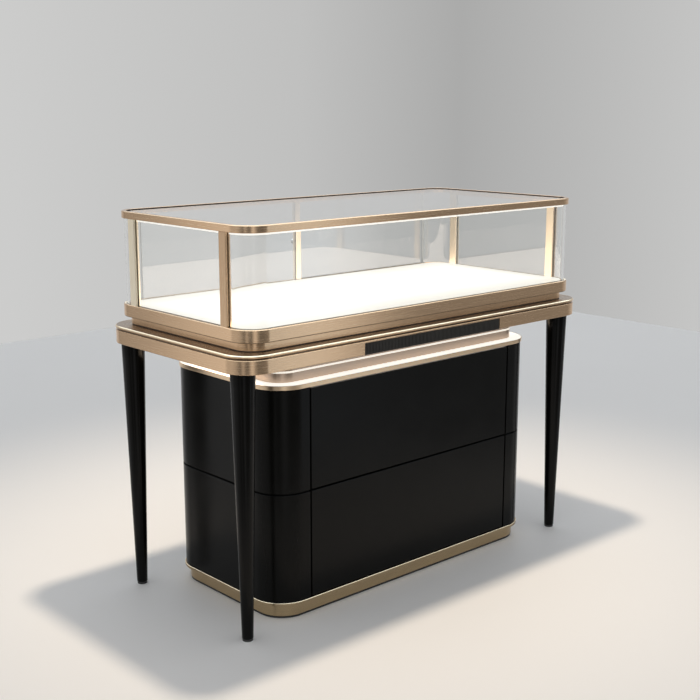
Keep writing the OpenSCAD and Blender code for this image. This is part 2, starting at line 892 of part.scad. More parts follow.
module lower_drawer_box() color("gray") drawer_box(lower_box_z0, lower_box_z1);

module lower_drawer_members() color(steel) drawer_members(lower_box_z0 + runner_up);

module lower_runner_mids() color(steel) runner_mids(lower_box_z0 + runner_up);

// Rear doors: the left one runs in the inner slot, the right one in the outer slot

module door_glass(x0, x1, y) {
  block([x0, y - door_glass_t / 2, door_z0], [x1, y + door_glass_t / 2, door_z1]);
}

// Meeting stile wrapped over the glass edge, and two shoes under the glass
module door_frame(x0, x1, stile_x, y) {
  difference() {
    block([stile_x - stile_w / 2, y - door_glass_t / 2 - stile_wall, z_deck + stile_gap],
          [stile_x + stile_w / 2, y + door_glass_t / 2 + stile_wall, z_rail - stile_gap]);
    door_glass(x0, x1, y);
  }
  for (x = [x0 + shoe_l, x1 - 2 * shoe_l])
    block([x, y - slot_w / 2 + fit, shoe_z0], [x + shoe_l, y + slot_w / 2 - fit, door_z0]);
}

stile_edge = stile_w / 2 - stile_wall;

module door_left_glass() color(clear_glass) door_glass(-door_end, stile_edge, left_door_y);

module door_left_frame() color(champagne)
  door_frame(-door_end, stile_edge, 0, left_door_y);

module door_right_glass() color(clear_glass) door_glass(-stile_edge, door_end, right_door_y);

module door_right_frame() color(champagne)
  door_frame(-stile_edge, door_end, 0, right_door_y);

lock_y = right_door_y + door_glass_t / 2 + stile_wall;

module lock_body() color(steel) translate([0, lock_y, lock_z]) rotate([-90, 0, 0]) difference() {
  cylinder(h = lock_l, r = lock_r);
  translate([0, 0, lock_floor]) cylinder(h = lock_l, r = lock_bore_r);
}

module lock_plug() color("silver") translate([0, lock_y, lock_z]) rotate([-90, 0, 0]) difference() {
  translate([0, 0, lock_floor + fit]) cylinder(h = lock_l - lock_floor, r = lock_bore_r - run_fit);
  translate([-key_w / 2, -key_l / 2, lock_l - key_d]) cube([key_w, key_l, key_d + over]);
}

// Electrics

module lead_hole(z0, z1) {
  translate([lead_x, driver_y, z0 - over]) cylinder(h = z1 - z0 + 2 * over, r = lead_r + lead_play);
}

cap_lead_z = z_cap + foot_led_h + cap_lead_r;

module led_driver() color("whitesmoke") {
  block([-driver_l / 2, driver_y - driver_w / 2, z_cap],
        [driver_l / 2, driver_y + driver_w / 2, z_cap + driver_h]);
  both_ends() difference() {
    block([driver_l / 2, driver_y - driver_w / 4, z_cap],
          [driver_l / 2 + driver_ear, driver_y + driver_w / 4, z_cap + foot_led_h - fit]);
    translate([driver_l / 2 + driver_ear / 2, driver_y, z_cap - over])
      cylinder(h = foot_led_h + 2 * over, r = ear_hole_r);
  }
}

gland_y = neck_d / 2;

module cable_gland() color(black) translate([gland_x, gland_y, gland_z]) rotate([-90, 0, 0])
  difference() {
    union() {
      translate([0, 0, -neck_wall - gland_nut_h - gland_tail])
        cylinder(h = neck_wall + gland_nut_h + gland_tail, r = gland_r);
      translate([0, 0, -neck_wall - gland_nut_h]) cylinder(h = gland_nut_h, r = gland_nut_r, $fn = 6);
      cylinder(h = gland_nut_h, r = gland_nut_r, $fn = 6);
      cylinder(h = gland_nut_h + gland_dome_h, r = gland_dome_r);
    }
    translate([0, 0, -neck_wall - gland_nut_h - gland_tail - over])
      cylinder(h = neck_d, r = gland_bore_r);
  }

// Supply lead from the gland, case lead straight up, and leads out to the cabinet's two lights
module inner_leads() color("white") {
  lead_y = gland_y - neck_wall - gland_nut_h - gland_tail;
  translate([gland_x, driver_y, gland_z]) rotate([-90, 0, 0])
    cylinder(h = lead_y - driver_y, r = lead_r);
  translate([gland_x, driver_y, z_cap + driver_h])
    cylinder(h = gland_z - z_cap - driver_h, r = lead_r);
  translate([lead_x, driver_y, gland_z])
    cylinder(h = z_base + floor_t - gland_z, r = lead_r);
  translate([-driver_l / 2, driver_y, cap_lead_z]) rotate([0, -90, 0])
    cylinder(h = neck_l / 2 + foot_led_gap + foot_led_w / 2 - driver_l / 2, r = cap_lead_r);
  translate([lead_x, driver_y, line_z]) rotate([0, -90, 0])
    cylinder(h = lead_x + neck_l / 2 - line_d, r = cap_lead_r);
}

module switch_housing() color(black) difference() {
  union() {
    block([switch_x - switch_l / 2, table_d / 2 - apron_in, switch_z - switch_h / 2],
          [switch_x + switch_l / 2, table_d / 2, switch_z + switch_h / 2]);
    block([switch_x - switch_body_l / 2, table_d / 2 - switch_depth, switch_z - switch_body_h / 2],
          [switch_x + switch_body_l / 2, table_d / 2, switch_z + switch_body_h / 2]);
  }
  block([switch_x - switch_body_l / 2 + switch_wall, table_d / 2 - switch_cup,
         switch_z - switch_body_h / 2 + switch_side],
        [switch_x + switch_body_l / 2 - switch_wall, table_d / 2 + over,
         switch_z + switch_body_h / 2 - switch_side]);
  translate([switch_x, rocker_y, switch_z]) rotate([0, 90, 0])
    cylinder(h = switch_body_l - switch_wall, r = rocker_pin_r + run_fit, center = true);
}

// Rocker with a V-shaped face, tilted to its first side
module switch_rocker() color("firebrick") translate([switch_x, rocker_y, switch_z]) {
  half_h = switch_body_h / 2 - switch_side - 1;
  half_l = switch_body_l / 2 - switch_wall - fit;
  rotate([rocker_tilt, 0, 0]) {
    rotate([90, 0, 90]) translate([0, 0, -half_l]) linear_extrude(2 * half_l)
      polygon([[-rocker_back, -half_h * 0.6], [rocker_reach, -half_h],
               [rocker_reach + half_h * tan(rocker_tilt), 0], [rocker_reach, half_h],
               [-rocker_back, half_h * 0.6]]);
    rotate([0, 90, 0]) cylinder(h = switch_body_l - 2 * switch_wall + 0.8, r = rocker_pin_r, center = true);
  }
}

top_frame();
top_glass();
glazing_gaskets();
front_glass();
side_glasses();
rear_corner_glasses();
front_posts();
rear_posts();
door_jambs();
door_tracks();
led_channels();
led_bars();
display_deck();
light_board();
case_floor();
base_frame();
case_riser();
table_plate();
table_spacer();
table_apron();
apron_strip();
subframe_rails();
leg_blocks();
underside_panel();
front_legs();
rear_legs();
leg_studs();
leg_glides();
neck();
cabinet_light_strips();
cap_band();
cap_diffuser();
carcass_sides();
carcass_shelves();
shell_left();
shell_right();
back_panel();
back_panel_screws();
ledge_plate();
plinth();
runner_cabinet_members();
led_driver();
cable_gland();
inner_leads();
switch_housing();
upper_drawer_front();
upper_drawer_box();
upper_drawer_members();
upper_runner_mids();
lower_drawer_front();
lower_drawer_box();
lower_drawer_members();
lower_runner_mids();
door_left_glass();
door_left_frame();
door_right_glass();
door_right_frame();
lock_body();
lock_plug();
switch_rocker();
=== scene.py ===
import json
import math

import bmesh
import bpy
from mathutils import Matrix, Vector


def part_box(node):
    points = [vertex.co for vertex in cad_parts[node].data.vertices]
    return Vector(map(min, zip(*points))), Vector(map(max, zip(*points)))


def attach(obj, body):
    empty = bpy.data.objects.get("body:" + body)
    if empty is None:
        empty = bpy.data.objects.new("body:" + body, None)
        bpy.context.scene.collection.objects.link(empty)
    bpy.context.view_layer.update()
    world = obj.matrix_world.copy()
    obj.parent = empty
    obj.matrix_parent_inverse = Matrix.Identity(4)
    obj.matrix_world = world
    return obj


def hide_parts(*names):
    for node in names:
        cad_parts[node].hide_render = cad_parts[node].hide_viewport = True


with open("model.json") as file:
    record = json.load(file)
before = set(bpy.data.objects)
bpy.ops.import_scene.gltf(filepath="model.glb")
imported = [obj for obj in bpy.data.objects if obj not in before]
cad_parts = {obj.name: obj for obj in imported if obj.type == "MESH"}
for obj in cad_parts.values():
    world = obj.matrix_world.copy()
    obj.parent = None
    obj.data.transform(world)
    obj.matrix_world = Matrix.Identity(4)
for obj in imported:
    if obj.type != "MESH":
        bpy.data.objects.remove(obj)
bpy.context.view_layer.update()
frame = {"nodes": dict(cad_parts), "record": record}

# Jewellery showcase. Everything is in metres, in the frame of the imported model.

nodes = frame["nodes"]
record = frame["record"]
slot_of = {entry["node"]: entry["material_slot"] for entry in record["subparts"]}
body_of = {name: body for body, names in record["behaviour"]["bodies"].items() for name in names}

MM = 0.001


def low(node):
    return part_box(node)[0]


def high(node):
    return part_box(node)[1]


def plan_size(node):
    """Length and depth of a node's box."""
    lo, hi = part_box(node)
    return hi.x - lo.x, hi.y - lo.y


# Sizes that the boxes of the nodes don't give

CASE_RADIUS = 64 * MM
TABLE_RADIUS = 74 * MM
CAP_RADIUS = 88 * MM
BODY_RADIUS = 85 * MM
NECK_RADIUS = 53 * MM
TOP_RAIL = 22 * MM
REBATE_IN = 12 * MM
REBATE_DEPTH = 9 * MM
GROOVE_NEAR = 5 * MM
GROOVE_FAR = 13 * MM
GLASS_NEAR = 6 * MM
GLASS_FAR = 12 * MM
BASE_OUT = 2 * MM
BASE_WIDTH = 32 * MM
DECK_IN = 15 * MM
DECK_BACK_IN = 22 * MM
TRACK_NEAR = 3.5 * MM
TRACK_FAR = 20.5 * MM
TOP_TRACK_HEIGHT = 8 * MM
LOW_TRACK_HEIGHT = 10 * MM
GROOVE_LOW = 10 * MM
GROOVE_HIGH = 6 * MM
POST_DEPTH = 18 * MM
POST_GROOVE = 10 * MM
BAR_IN = 14 * MM
BAR_WIDTH = 5.6 * MM
CHANNEL_NEAR = 19.9 * MM
CHANNEL_FAR = 20.9 * MM
CHANNEL_WALL = 1 * MM
RISER_IN = 16 * MM
RISER_WIDTH = 28 * MM
RISER_GROOVE = 3 * MM
APRON_IN = 1 * MM
APRON_WALL = 4 * MM
FLANGE = 3 * MM
FLANGE_WIDTH = 50 * MM
STRIP_POCKET = 2.5 * MM
FOOT_RADIUS = 14 * MM
SHOULDER_RADIUS = 30 * MM
STUD_RADIUS = 6 * MM
BAND_LAP = 6 * MM
BAND_RIM = 1.5 * MM
DIFFUSER_HEIGHT = 5 * MM
NECK_WALL = 12 * MM
LINE_LOW = 34 * MM
LINE_HIGH = 39 * MM
LINE_DEPTH = 3 * MM
SEAM = 2.4 * MM
PLINTH_SEAL = 6 * MM
GLASS_DROP = 2.4 * MM
BEAD = 1 * MM
EDGE_GAP = 0.5 * MM
SHELL_WALL = 15 * MM
REVEAL_DEPTH = 6 * MM
PLINTH_IN = 14 * MM
PLINTH_WALL = 18 * MM

# Roundings of edges that are only broken, and the gaps between fitted parts
BROKEN = 0.3 * MM
EASED = 0.4 * MM
ARRIS = 0.6 * MM
FIT_GAP = 0.3 * MM
HAIR_GAP = 0.1 * MM
BEAD_GAP = 0.05 * MM

CORNER_STEPS = 28
FILLET_STEPS = 4
FILLET_PAD = 0.25 * MM
FRONT, RIGHT, BACK, LEFT = range(4)


# Mesh building

def outline_corners(points):
    """Closed outline from (x, y, radius) corners, with an arc at each rounded one."""
    outline = []
    count = len(points)
    for k, (x, y, radius) in enumerate(points):
        corner = Vector((x, y))
        if not radius:
            outline.append(corner)
            continue
        to_last = (Vector(points[k - 1][:2]) - corner).normalized()
        to_next = (Vector(points[(k + 1) % count][:2]) - corner).normalized()
        half = to_last.angle(to_next) / 2
        run = radius / math.tan(half)
        centre = corner + (to_last + to_next).normalized() * (radius / math.sin(half))
        first = corner + to_last * run - centre
        last = corner + to_next * run - centre
        outline.append(corner + to_last * (run + FILLET_PAD))
        for step in range(FILLET_STEPS + 1):
            spoke = first.lerp(last, step / FILLET_STEPS).normalized() * radius
            outline.append(centre + spoke)
        outline.append(corner + to_next * (run + FILLET_PAD))
    return outline


def way_round(length, depth, radius, corners=(0, 1, 2, 3), begin=None, end=None, straight=None):
    """Stations (point, outward direction) round a rounded rectangle, anticlockwise from above.

    Corner 0 is front right, 1 back right, 2 back left and 3 front left. Straight k comes before
    corner k. begin and end are places along the straights before the first corner and after the
    last; with straight, the way is just that straight from begin to end.
    """
    x, y = length / 2 - radius, depth / 2 - radius
    centres = [Vector((x, -y)), Vector((x, y)), Vector((-x, y)), Vector((-x, -y))]

    def on_straight(k, place):
        angle = math.radians(90 * k - 90)
        point = centres[k].copy()
        point[0 if k in (FRONT, BACK) else 1] = place
        return point, Vector((math.cos(angle), math.sin(angle)))

    if straight is not None:
        return [on_straight(straight, begin), on_straight(straight, end)]
    stations = []
    if begin is not None:
        stations.append(on_straight(corners[0], begin))
    for k in corners:
        for step in range(CORNER_STEPS + 1):
            angle = math.radians(90 * k - 90 + 90 * step / CORNER_STEPS)
            stations.append((centres[k], Vector((math.cos(angle), math.sin(angle)))))
    if end is not None:
        stations.append(on_straight((corners[-1] + 1) % 4, end))
    return stations


def lengths_round(section):
    """Length of the closed outline up to each of its points, and to the first again."""
    around = [0.0]
    for k in range(len(section)):
        step = Vector(section[(k + 1) % len(section)]) - Vector(section[k])
        around.append(around[-1] + step.length)
    return around


class Shape:
    """A mesh in the making, with a UV map in metres: u runs along the grain, v across it."""

    def __init__(self):
        self.mesh = bmesh.new()
        self.uv = self.mesh.loops.layers.uv.new("grain")

    def face(self, verts, places):
        """Adds a face with its UV places."""
        made = self.mesh.faces.new(verts)
        made.smooth = True
        for loop, place in zip(made.loops, places):
            loop[self.uv].uv = place

    def sweep(self, section, stations, radius, closed=True):
        """Section of (inset, height) points, carried along the stations."""
        rows = []
        for point, out in stations:
            row = []
            for inset, height in section:
                place = point + out * (radius - inset)
                row.append(self.mesh.verts.new((place.x, place.y, height)))
            rows.append(row)
        count = len(section)
        around = lengths_round(section)
        along = [0.0]
        for k in range(len(stations)):
            here = stations[k][0] + stations[k][1] * radius
            there_point, there_out = stations[(k + 1) % len(stations)]
            along.append(along[-1] + (there_point + there_out * radius - here).length)
        last = len(rows) if closed else len(rows) - 1
        for i in range(last):
            row, following = rows[i], rows[(i + 1) % len(rows)]
            for j in range(count):
                n = (j + 1) % count
                self.face(
                    (row[j], following[j], following[n], row[n]),
                    ((along[i], around[j]), (along[i + 1], around[j]),
                     (along[i + 1], around[j + 1]), (along[i], around[j + 1])))
        if not closed:
            for row in (rows[0], rows[-1]):
                self.face(row, [tuple(point) for point in section])
        return rows

    def close_slab(self, rows):
        """Makes a slab of a swept edge: no wall inside, and one face above and below."""
        ends = (0, len(rows[0]) - 1)
        rims = {row[k] for row in rows for k in ends}
        wall = [face for face in self.mesh.faces if all(vert in rims for vert in face.verts)]
        bmesh.ops.delete(self.mesh, geom=wall, context="FACES_ONLY")
        for k in ends:
            rim = [row[k] for row in rows]
            self.face(rim, [(vert.co.x, vert.co.y) for vert in rim])

    def prism(self, outline, bottom, top):
        """Outline of (x, y) points drawn up from one height to another."""
        rows = [[self.mesh.verts.new((x, y, z)) for x, y in outline] for z in (bottom, top)]
        around = lengths_round(outline)
        for j in range(len(outline)):
            n = (j + 1) % len(outline)
            self.face(
                (rows[0][j], rows[0][n], rows[1][n], rows[1][j]),
                ((bottom, around[j]), (bottom, around[j + 1]),
                 (top, around[j + 1]), (top, around[j])))
        for row in rows:
            self.face(row, [tuple(point) for point in outline])

    def lathe(self, profile, centre, steps=72):
        """Profile of (radius, height) points turned about a vertical axis; radius 0 closes it."""
        rings = []
        for radius, height in profile:
            if radius == 0:
                rings.append([self.mesh.verts.new((centre[0], centre[1], height))] * steps)
                continue
            rings.append([
                self.mesh.verts.new((
                    centre[0] + radius * math.cos(math.tau * k / steps),
                    centre[1] + radius * math.sin(math.tau * k / steps),
                    height))
                for k in range(steps)])
        for i in range(len(rings) - 1):
            for k in range(steps):
                n = (k + 1) % steps
                quad = []
                for vert in (rings[i][k], rings[i][n], rings[i + 1][n], rings[i + 1][k]):
                    if vert not in quad:
                        quad.append(vert)
                width = math.tau * max(profile[i][0], profile[i + 1][0]) / steps
                places = [(v.co.z, k * width) for v in quad]
                self.face(quad, places)

    def box(self, lo, hi, radius, steps):
        """Box with rounded edges."""
        made = bmesh.ops.create_cube(self.mesh, size=1.0)["verts"]
        middle, size = (Vector(lo) + Vector(hi)) / 2, Vector(hi) - Vector(lo)
        for vert in made:
            vert.co = Vector((vert.co.x * size.x, vert.co.y * size.y, vert.co.z * size.z)) + middle
        edges = list({edge for vert in made for edge in vert.link_edges})
        bevelled = bmesh.ops.bevel(
            self.mesh, geom=edges, offset=radius, segments=steps, profile=0.5,
            affect="EDGES", clamp_overlap=True)
        faces = {face for vert in bevelled["verts"] for face in vert.link_faces}
        for face in faces:
            face.smooth = True
            facing_y = max(range(3), key=lambda axis: abs(face.normal[axis])) == 1
            for loop in face.loops:
                x, y, z = loop.vert.co
                loop[self.uv].uv = (x, z) if facing_y else (y, z)

    def finish(self, name, boxes=False):
        """The object made of the mesh; boxes keep their flat faces flat in shading."""
        bmesh.ops.recalc_face_normals(self.mesh, faces=self.mesh.faces)
        data = bpy.data.meshes.new(name)
        self.mesh.to_mesh(data)
        self.mesh.free()
        data.set_sharp_from_angle(angle=math.radians(70 if boxes else 35))
        piece = bpy.data.objects.new(name, data)
        bpy.context.scene.collection.objects.link(piece)
        if boxes:
            even_normals(piece)
        return piece


def even_normals(piece):
    """Keeps flat faces flat in shading, so only the rounded edges turn."""
    modifier = piece.modifiers.new("even_normals", "WEIGHTED_NORMAL")
    modifier.keep_sharp = True


def dress(piece, material, node):
    """Gives a new piece its material and its body, and lets it stand for the node."""
    piece.data.materials.append(material)
    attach(piece, body_of[node])
    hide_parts(node)
    return piece


def trim(piece, material, node):
    """A thin strip of its own on a node's body, which stands for none of the nodes."""
    piece.data.materials.append(material)
    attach(piece, body_of[node])


def second_finish(piece, material, chosen):
    """Gives the chosen faces of a piece a material of their own."""
    piece.data.materials.append(material)
    for face in piece.data.polygons:
        if chosen(face):
            face.material_index = len(piece.data.materials) - 1


def facing_up(least, most=math.inf):
    """Chooses faces by the upward part of their normal: 1 is up, 0 upright and -1 down."""
    return lambda face: least < face.normal.z < most


def softened(node, material, radius, name):
    """Copy of a CAD node with its sharp edges rounded, which stands for the node."""
    sharp = math.radians(40)
    work = bmesh.new()
    work.from_mesh(nodes[node].data)
    bmesh.ops.remove_doubles(work, verts=work.verts, dist=0.002 * MM)
    bmesh.ops.dissolve_limit(
        work, angle_limit=math.radians(0.5), verts=work.verts, edges=work.edges)
    edges = [edge for edge in work.edges
             if len(edge.link_faces) == 2 and edge.calc_face_angle() > sharp]
    bmesh.ops.bevel(work, geom=edges, offset=radius, segments=3, profile=0.5,
                    affect="EDGES", clamp_overlap=True)
    data = bpy.data.meshes.new(name)
    for face in work.faces:
        face.smooth = True
    work.to_mesh(data)
    work.free()
    data.set_sharp_from_angle(angle=sharp)
    piece = bpy.data.objects.new(name, data)
    bpy.context.scene.collection.objects.link(piece)
    even_normals(piece)
    dress(piece, material, node)


# Shader nodes

def supply(tree, socket, value):
    """Sets a socket to a value, or links it to another node's output."""
    if isinstance(value, bpy.types.NodeSocket):
        tree.links.new(value, socket)
    else:
        socket.default_value = value


def math_node(tree, operation, one, two=0.0):
    node = tree.nodes.new("ShaderNodeMath")
    node.operation = operation
    for socket, value in zip(node.inputs, (one, two)):
        supply(tree, socket, value)
    return node.outputs[0]


def remap(tree, source, start, stop, lowest=0.0, highest=1.0, curve="SMOOTHSTEP"):
    """Turns values from start to stop into values from lowest to highest."""
    node = tree.nodes.new("ShaderNodeMapRange")
    node.interpolation_type = curve
    node.inputs["From Min"].default_value = start
    node.inputs["From Max"].default_value = stop
    node.inputs["To Min"].default_value = lowest
    node.inputs["To Max"].default_value = highest
    tree.links.new(source, node.inputs["Value"])
    return node.outputs["Result"]


def ramp(tree, factor, stops):
    """Colour by factor, between stops of (place from 0 to 1, colour)."""
    node = tree.nodes.new("ShaderNodeValToRGB")
    elements = node.color_ramp.elements
    while len(elements) < len(stops):
        elements.new(0.5)
    for element, (place, colour) in zip(elements, stops):
        element.position = place
        element.color = (*colour, 1)
    tree.links.new(factor, node.inputs["Fac"])
    return node.outputs["Color"]


def shade(colour, factor):
    return tuple(channel * factor for channel in colour)


def seen_directly(tree):
    """1 for what the camera sees, itself or through glass, and 0 in reflections and lighting."""
    path = tree.nodes.new("ShaderNodeLightPath")
    return math_node(
        tree, "MAXIMUM", path.outputs["Is Camera Ray"], path.outputs["Is Transmission Ray"])


class Surface:
    """A node material: a Principled shader, and small helpers for what feeds it."""

    def __init__(self, name, **values):
        self.material = bpy.data.materials.new(name)
        self.material.use_nodes = True
        self.tree = self.material.node_tree
        self.tree.nodes.clear()
        self.out = self.tree.nodes.new("ShaderNodeOutputMaterial")
        self.shader = self.tree.nodes.new("ShaderNodeBsdfPrincipled")
        self.link(self.shader.outputs["BSDF"], self.out.inputs["Surface"])
        for socket, value in values.items():
            self.shader.inputs[socket.replace("_", " ")].default_value = value

    def link(self, source, target):
        self.tree.links.new(source, target)

    def feed(self, socket, source):
        self.link(source, self.shader.inputs[socket])

    def noise(self, stretch=(1, 1, 1), scale=1.0, detail=2.0, rough=0.5, coordinate="Object"):
        """Noise over the object's own coordinates or the UV map, stretched along each axis."""
        place = self.tree.nodes.new("ShaderNodeTexCoord")
        mapping = self.tree.nodes.new("ShaderNodeMapping")
        mapping.inputs["Scale"].default_value = stretch
        texture = self.tree.nodes.new("ShaderNodeTexNoise")
        texture.inputs["Scale"].default_value = scale
        texture.inputs["Detail"].default_value = detail
        texture.inputs["Roughness"].default_value = rough
        self.link(place.outputs[coordinate], mapping.inputs["Vector"])
        self.link(mapping.outputs["Vector"], texture.inputs["Vector"])
        return texture.outputs["Fac"]

    def cloud(self, socket, factor, colour, darkest, palest, reach=0.2):
        """Feeds a socket with shades of a colour, over the middle of a noise."""
        self.feed(socket, ramp(self.tree, factor, [
            (0.5 - reach, shade(colour, darkest)), (0.5 + reach, shade(colour, palest))]))

    def roughness(self, factor, least, most):
        """Varies the roughness with the middle of a noise."""
        self.feed("Roughness", remap(self.tree, factor, 0.3, 0.7, least, most, "LINEAR"))

    def bump(self, height, distance, strength):
        node = self.tree.nodes.new("ShaderNodeBump")
        node.inputs["Strength"].default_value = strength
        node.inputs["Distance"].default_value = distance
        self.link(height, node.inputs["Height"])
        self.feed("Normal", node.outputs["Normal"])


# Materials

CHAMPAGNE = (0.66, 0.455, 0.285)
LACQUER = (0.0036, 0.0036, 0.0032)
WARM_WHITE = (1.0, 0.955, 0.87)
OPAL = (0.9, 0.89, 0.87, 1)


def brushed_metal(name, base=CHAMPAGNE, rough=(0.20, 0.30), stretch=0.9, coordinate="UV",
                  grain=(25, 1400, 1)):
    """Anodised metal with the fine streaks and slow clouding of real brushing."""
    made = Surface(name, Metallic=1.0, Anisotropic=stretch, Anisotropic_Rotation=0.25)
    fine = made.noise(grain, detail=3.0, rough=0.6, coordinate=coordinate)
    broad = made.noise(tuple(value / 3 for value in grain), coordinate=coordinate)
    both = math_node(made.tree, "ADD", fine, broad)
    streak = math_node(made.tree, "MULTIPLY", both, 0.5)
    made.feed("Base Color", ramp(made.tree, streak, [
        (0.36, shade(base, 0.93)), (0.50, base), (0.64, shade(base, 1.06))]))
    made.roughness(streak, *rough)
    made.bump(fine, 0.015 * MM, 0.3)
    if coordinate == "UV":
        tangent = made.tree.nodes.new("ShaderNodeTangent")
        tangent.direction_type = "UV_MAP"
        tangent.uv_map = "grain"
        made.feed("Tangent", tangent.outputs["Tangent"])
    return made.material


def satin_lacquer(name, colour, rough, sheen):
    """Sprayed satin lacquer: a faint orange peel under an even sheen."""
    made = Surface(name, Specular_IOR_Level=sheen)
    peel = made.noise(scale=420)
    cloud = made.noise(scale=9, detail=3.0)
    made.cloud("Base Color", cloud, colour, 0.85, 1.2)
    made.roughness(cloud, *rough)
    made.bump(peel, 0.03 * MM, 0.25)
    return made.material


def plain_plastic(name, colour, rough, pitch=300, depth=0.04 * MM):
    """Moulded plastic or rubber with a fine matte texture."""
    made = Surface(name)
    texture = made.noise(scale=pitch, detail=3.0)
    made.cloud("Base Color", texture, colour, 0.9, 1.08)
    made.roughness(texture, rough - 0.05, rough + 0.08)
    made.bump(texture, depth, 0.4)
    return made.material


def lit_plastic(name, colour, strength):
    """Opal plastic lit from inside, a little uneven as light guides are."""
    made = Surface(name, Roughness=0.35, Base_Color=OPAL, Emission_Strength=strength)
    made.cloud("Emission Color", made.noise(scale=14), colour, 0.9, 1.0)
    return made.material


def lit_deck(name, colour, edge_colour, mirrored_colour):
    """Opal deck: white in the middle and cream towards its edges, as it looks in the photo.

    Mirrors show it brighter than its face, which stays near a picture's white.
    """
    made = Surface(
        name, Roughness=0.35, Base_Color=(0.12, 0.118, 0.114, 1), Emission_Strength=1.35)
    half = (high("display_deck") - low("display_deck")) / 2
    place = made.tree.nodes.new("ShaderNodeTexCoord")
    parts = made.tree.nodes.new("ShaderNodeSeparateXYZ")
    made.link(place.outputs["Object"], parts.inputs[0])
    shares = []
    for axis, reach, band in (("X", half.x, 0.10), ("Y", half.y, 0.18)):
        out = math_node(made.tree, "ABSOLUTE", parts.outputs[axis])
        shares.append(remap(made.tree, out, reach - band, reach))
    edge = math_node(made.tree, "MAXIMUM", *shares)
    path = made.tree.nodes.new("ShaderNodeLightPath")
    mirrored = math_node(
        made.tree, "MULTIPLY", path.outputs["Is Glossy Ray"], path.outputs["Is Reflection Ray"])
    pick = made.tree.nodes.new("ShaderNodeMix")
    pick.data_type = "RGBA"
    made.link(mirrored, pick.inputs["Factor"])
    face, mirror = [socket for socket in pick.inputs if socket.type == "RGBA"]
    made.link(ramp(made.tree, edge, [(0.0, colour), (1.0, edge_colour)]), face)
    mirror.default_value = (*mirrored_colour, 1)
    picked = [socket for socket in pick.outputs if socket.type == "RGBA"]
    made.feed("Emission Color", picked[0])
    return made.material


def clear_glass(name, tint, refraction):
    """Low-iron glass with the faintest clouding of its tint."""
    made = Surface(name, IOR=refraction, Transmission_Weight=1.0, Roughness=0.0,
                   Specular_IOR_Level=0.6)
    wipe = made.noise((3, 3, 9), scale=3, detail=3.0)
    made.cloud("Base Color", wipe, tint, 0.992, 1.0, reach=0.15)
    return made.material


def zinc_plated(name):
    made = Surface(name, Metallic=1.0)
    cloud = made.noise(scale=60, detail=4.0)
    made.feed("Base Color", ramp(made.tree, cloud, [
        (0.3, (0.42, 0.43, 0.44)), (0.7, (0.56, 0.56, 0.55))]))
    made.roughness(cloud, 0.28, 0.45)
    return made.material


def polished(name, colour, rough):
    made = Surface(name, Metallic=1.0)
    wear = made.noise(scale=500)
    made.cloud("Base Color", wear, colour, 0.94, 1.0)
    made.roughness(wear, *rough)
    return made.material


METAL = brushed_metal("champagne_brushed")
NECK_METAL = brushed_metal("neck_brushed", (0.58, 0.445, 0.35), (0.32, 0.40), 0.5)
# Lighter, paler copy for the cap band: painted light from the lit cap surface beside it
CAP_PAINTED_GLOW_METAL = brushed_metal("cap_painted_glow_brushed", (0.86, 0.65, 0.44), (0.30, 0.38), 0.6)
FOOT_METAL = brushed_metal("foot_brushed", (0.46, 0.345, 0.205), (0.20, 0.28), 0.8)
# Paler copy of the champagne metal: painted light from the lit deck, for faces that look into the
# case
PAINTED_GLOW_METAL = brushed_metal("painted_glow_brushed", (0.82, 0.70, 0.53), (0.42, 0.50), 0.2)
# Paler still: painted glow from the case's light, for the faces of the rear posts that don't look
# in
PAINTED_BRIGHT_GLOW_METAL = brushed_metal("painted_bright_glow_brushed", (0.93, 0.84, 0.67), (0.45, 0.55), 0.2)
# Paler copy for edges that face upward: painted highlight
PAINTED_HIGHLIGHT_METAL = brushed_metal("painted_highlight_brushed", (0.86, 0.70, 0.49), (0.24, 0.32), 0.8)
# Darker copy: painted shade, for the plate's top face and the base frame's faces that turn under
PAINTED_SHADE_METAL = brushed_metal("painted_shade_brushed", (0.33, 0.24, 0.16))
METAL_PLAIN = brushed_metal("champagne_satin", coordinate="Object", grain=(30, 900, 900))
# The same paler copy on object coordinates: painted light from the lit deck, for the door tracks
# and door frames
PAINTED_GLOW_METAL_PLAIN = brushed_metal(
    "painted_glow_satin", (0.82, 0.70, 0.55), (0.42, 0.50), 0.0, "Object", (900, 900, 30))
# Dark metal for the spacer between the plate and the apron: painted shade in the groove there
PAINTED_SHADE_BRONZE = brushed_metal(
    "dark_bronze", (0.15, 0.10, 0.062), coordinate="Object", grain=(30, 900, 900))
BODY_BLACK = satin_lacquer("black_satin_lacquer", LACQUER, (0.20, 0.27), 0.105)
LEG_BLACK = satin_lacquer("black_leg_lacquer", (0.0030, 0.0028, 0.0024), (0.16, 0.22), 0.13)
BOARD = plain_plastic("grey_melamine", (0.020, 0.020, 0.020), 0.5, 700, 0.05 * MM)
GLASS = clear_glass("clear_glass", (0.990, 0.996, 0.990), 1.64)
CLEAR = clear_glass("clear_jamb", (0.99, 0.995, 0.99), 1.04)
DECK_LIGHT = lit_deck(
    "deck_light", WARM_WHITE, shade((0.99, 0.955, 0.86), 0.68), shade((1.0, 0.87, 0.75), 2.3))
BAR_LIGHT = lit_plastic("bar_light", WARM_WHITE, 0.95)
CAP_LIGHT = lit_plastic("cap_light", WARM_WHITE, 0.95)
LINE_LIGHT = lit_plastic("line_light", (1.0, 0.88, 0.72), 0.6)
BOARD_LIGHT = lit_plastic("board_light", WARM_WHITE, 0.8)
GASKET = plain_plastic("pale_gasket", (0.50, 0.49, 0.46), 0.5)
# Dark brown for strips in grooves and gaps: painted shade
PAINTED_SHADE_STRIP = plain_plastic("painted_shade_strip", (0.05, 0.03, 0.02), 0.5)
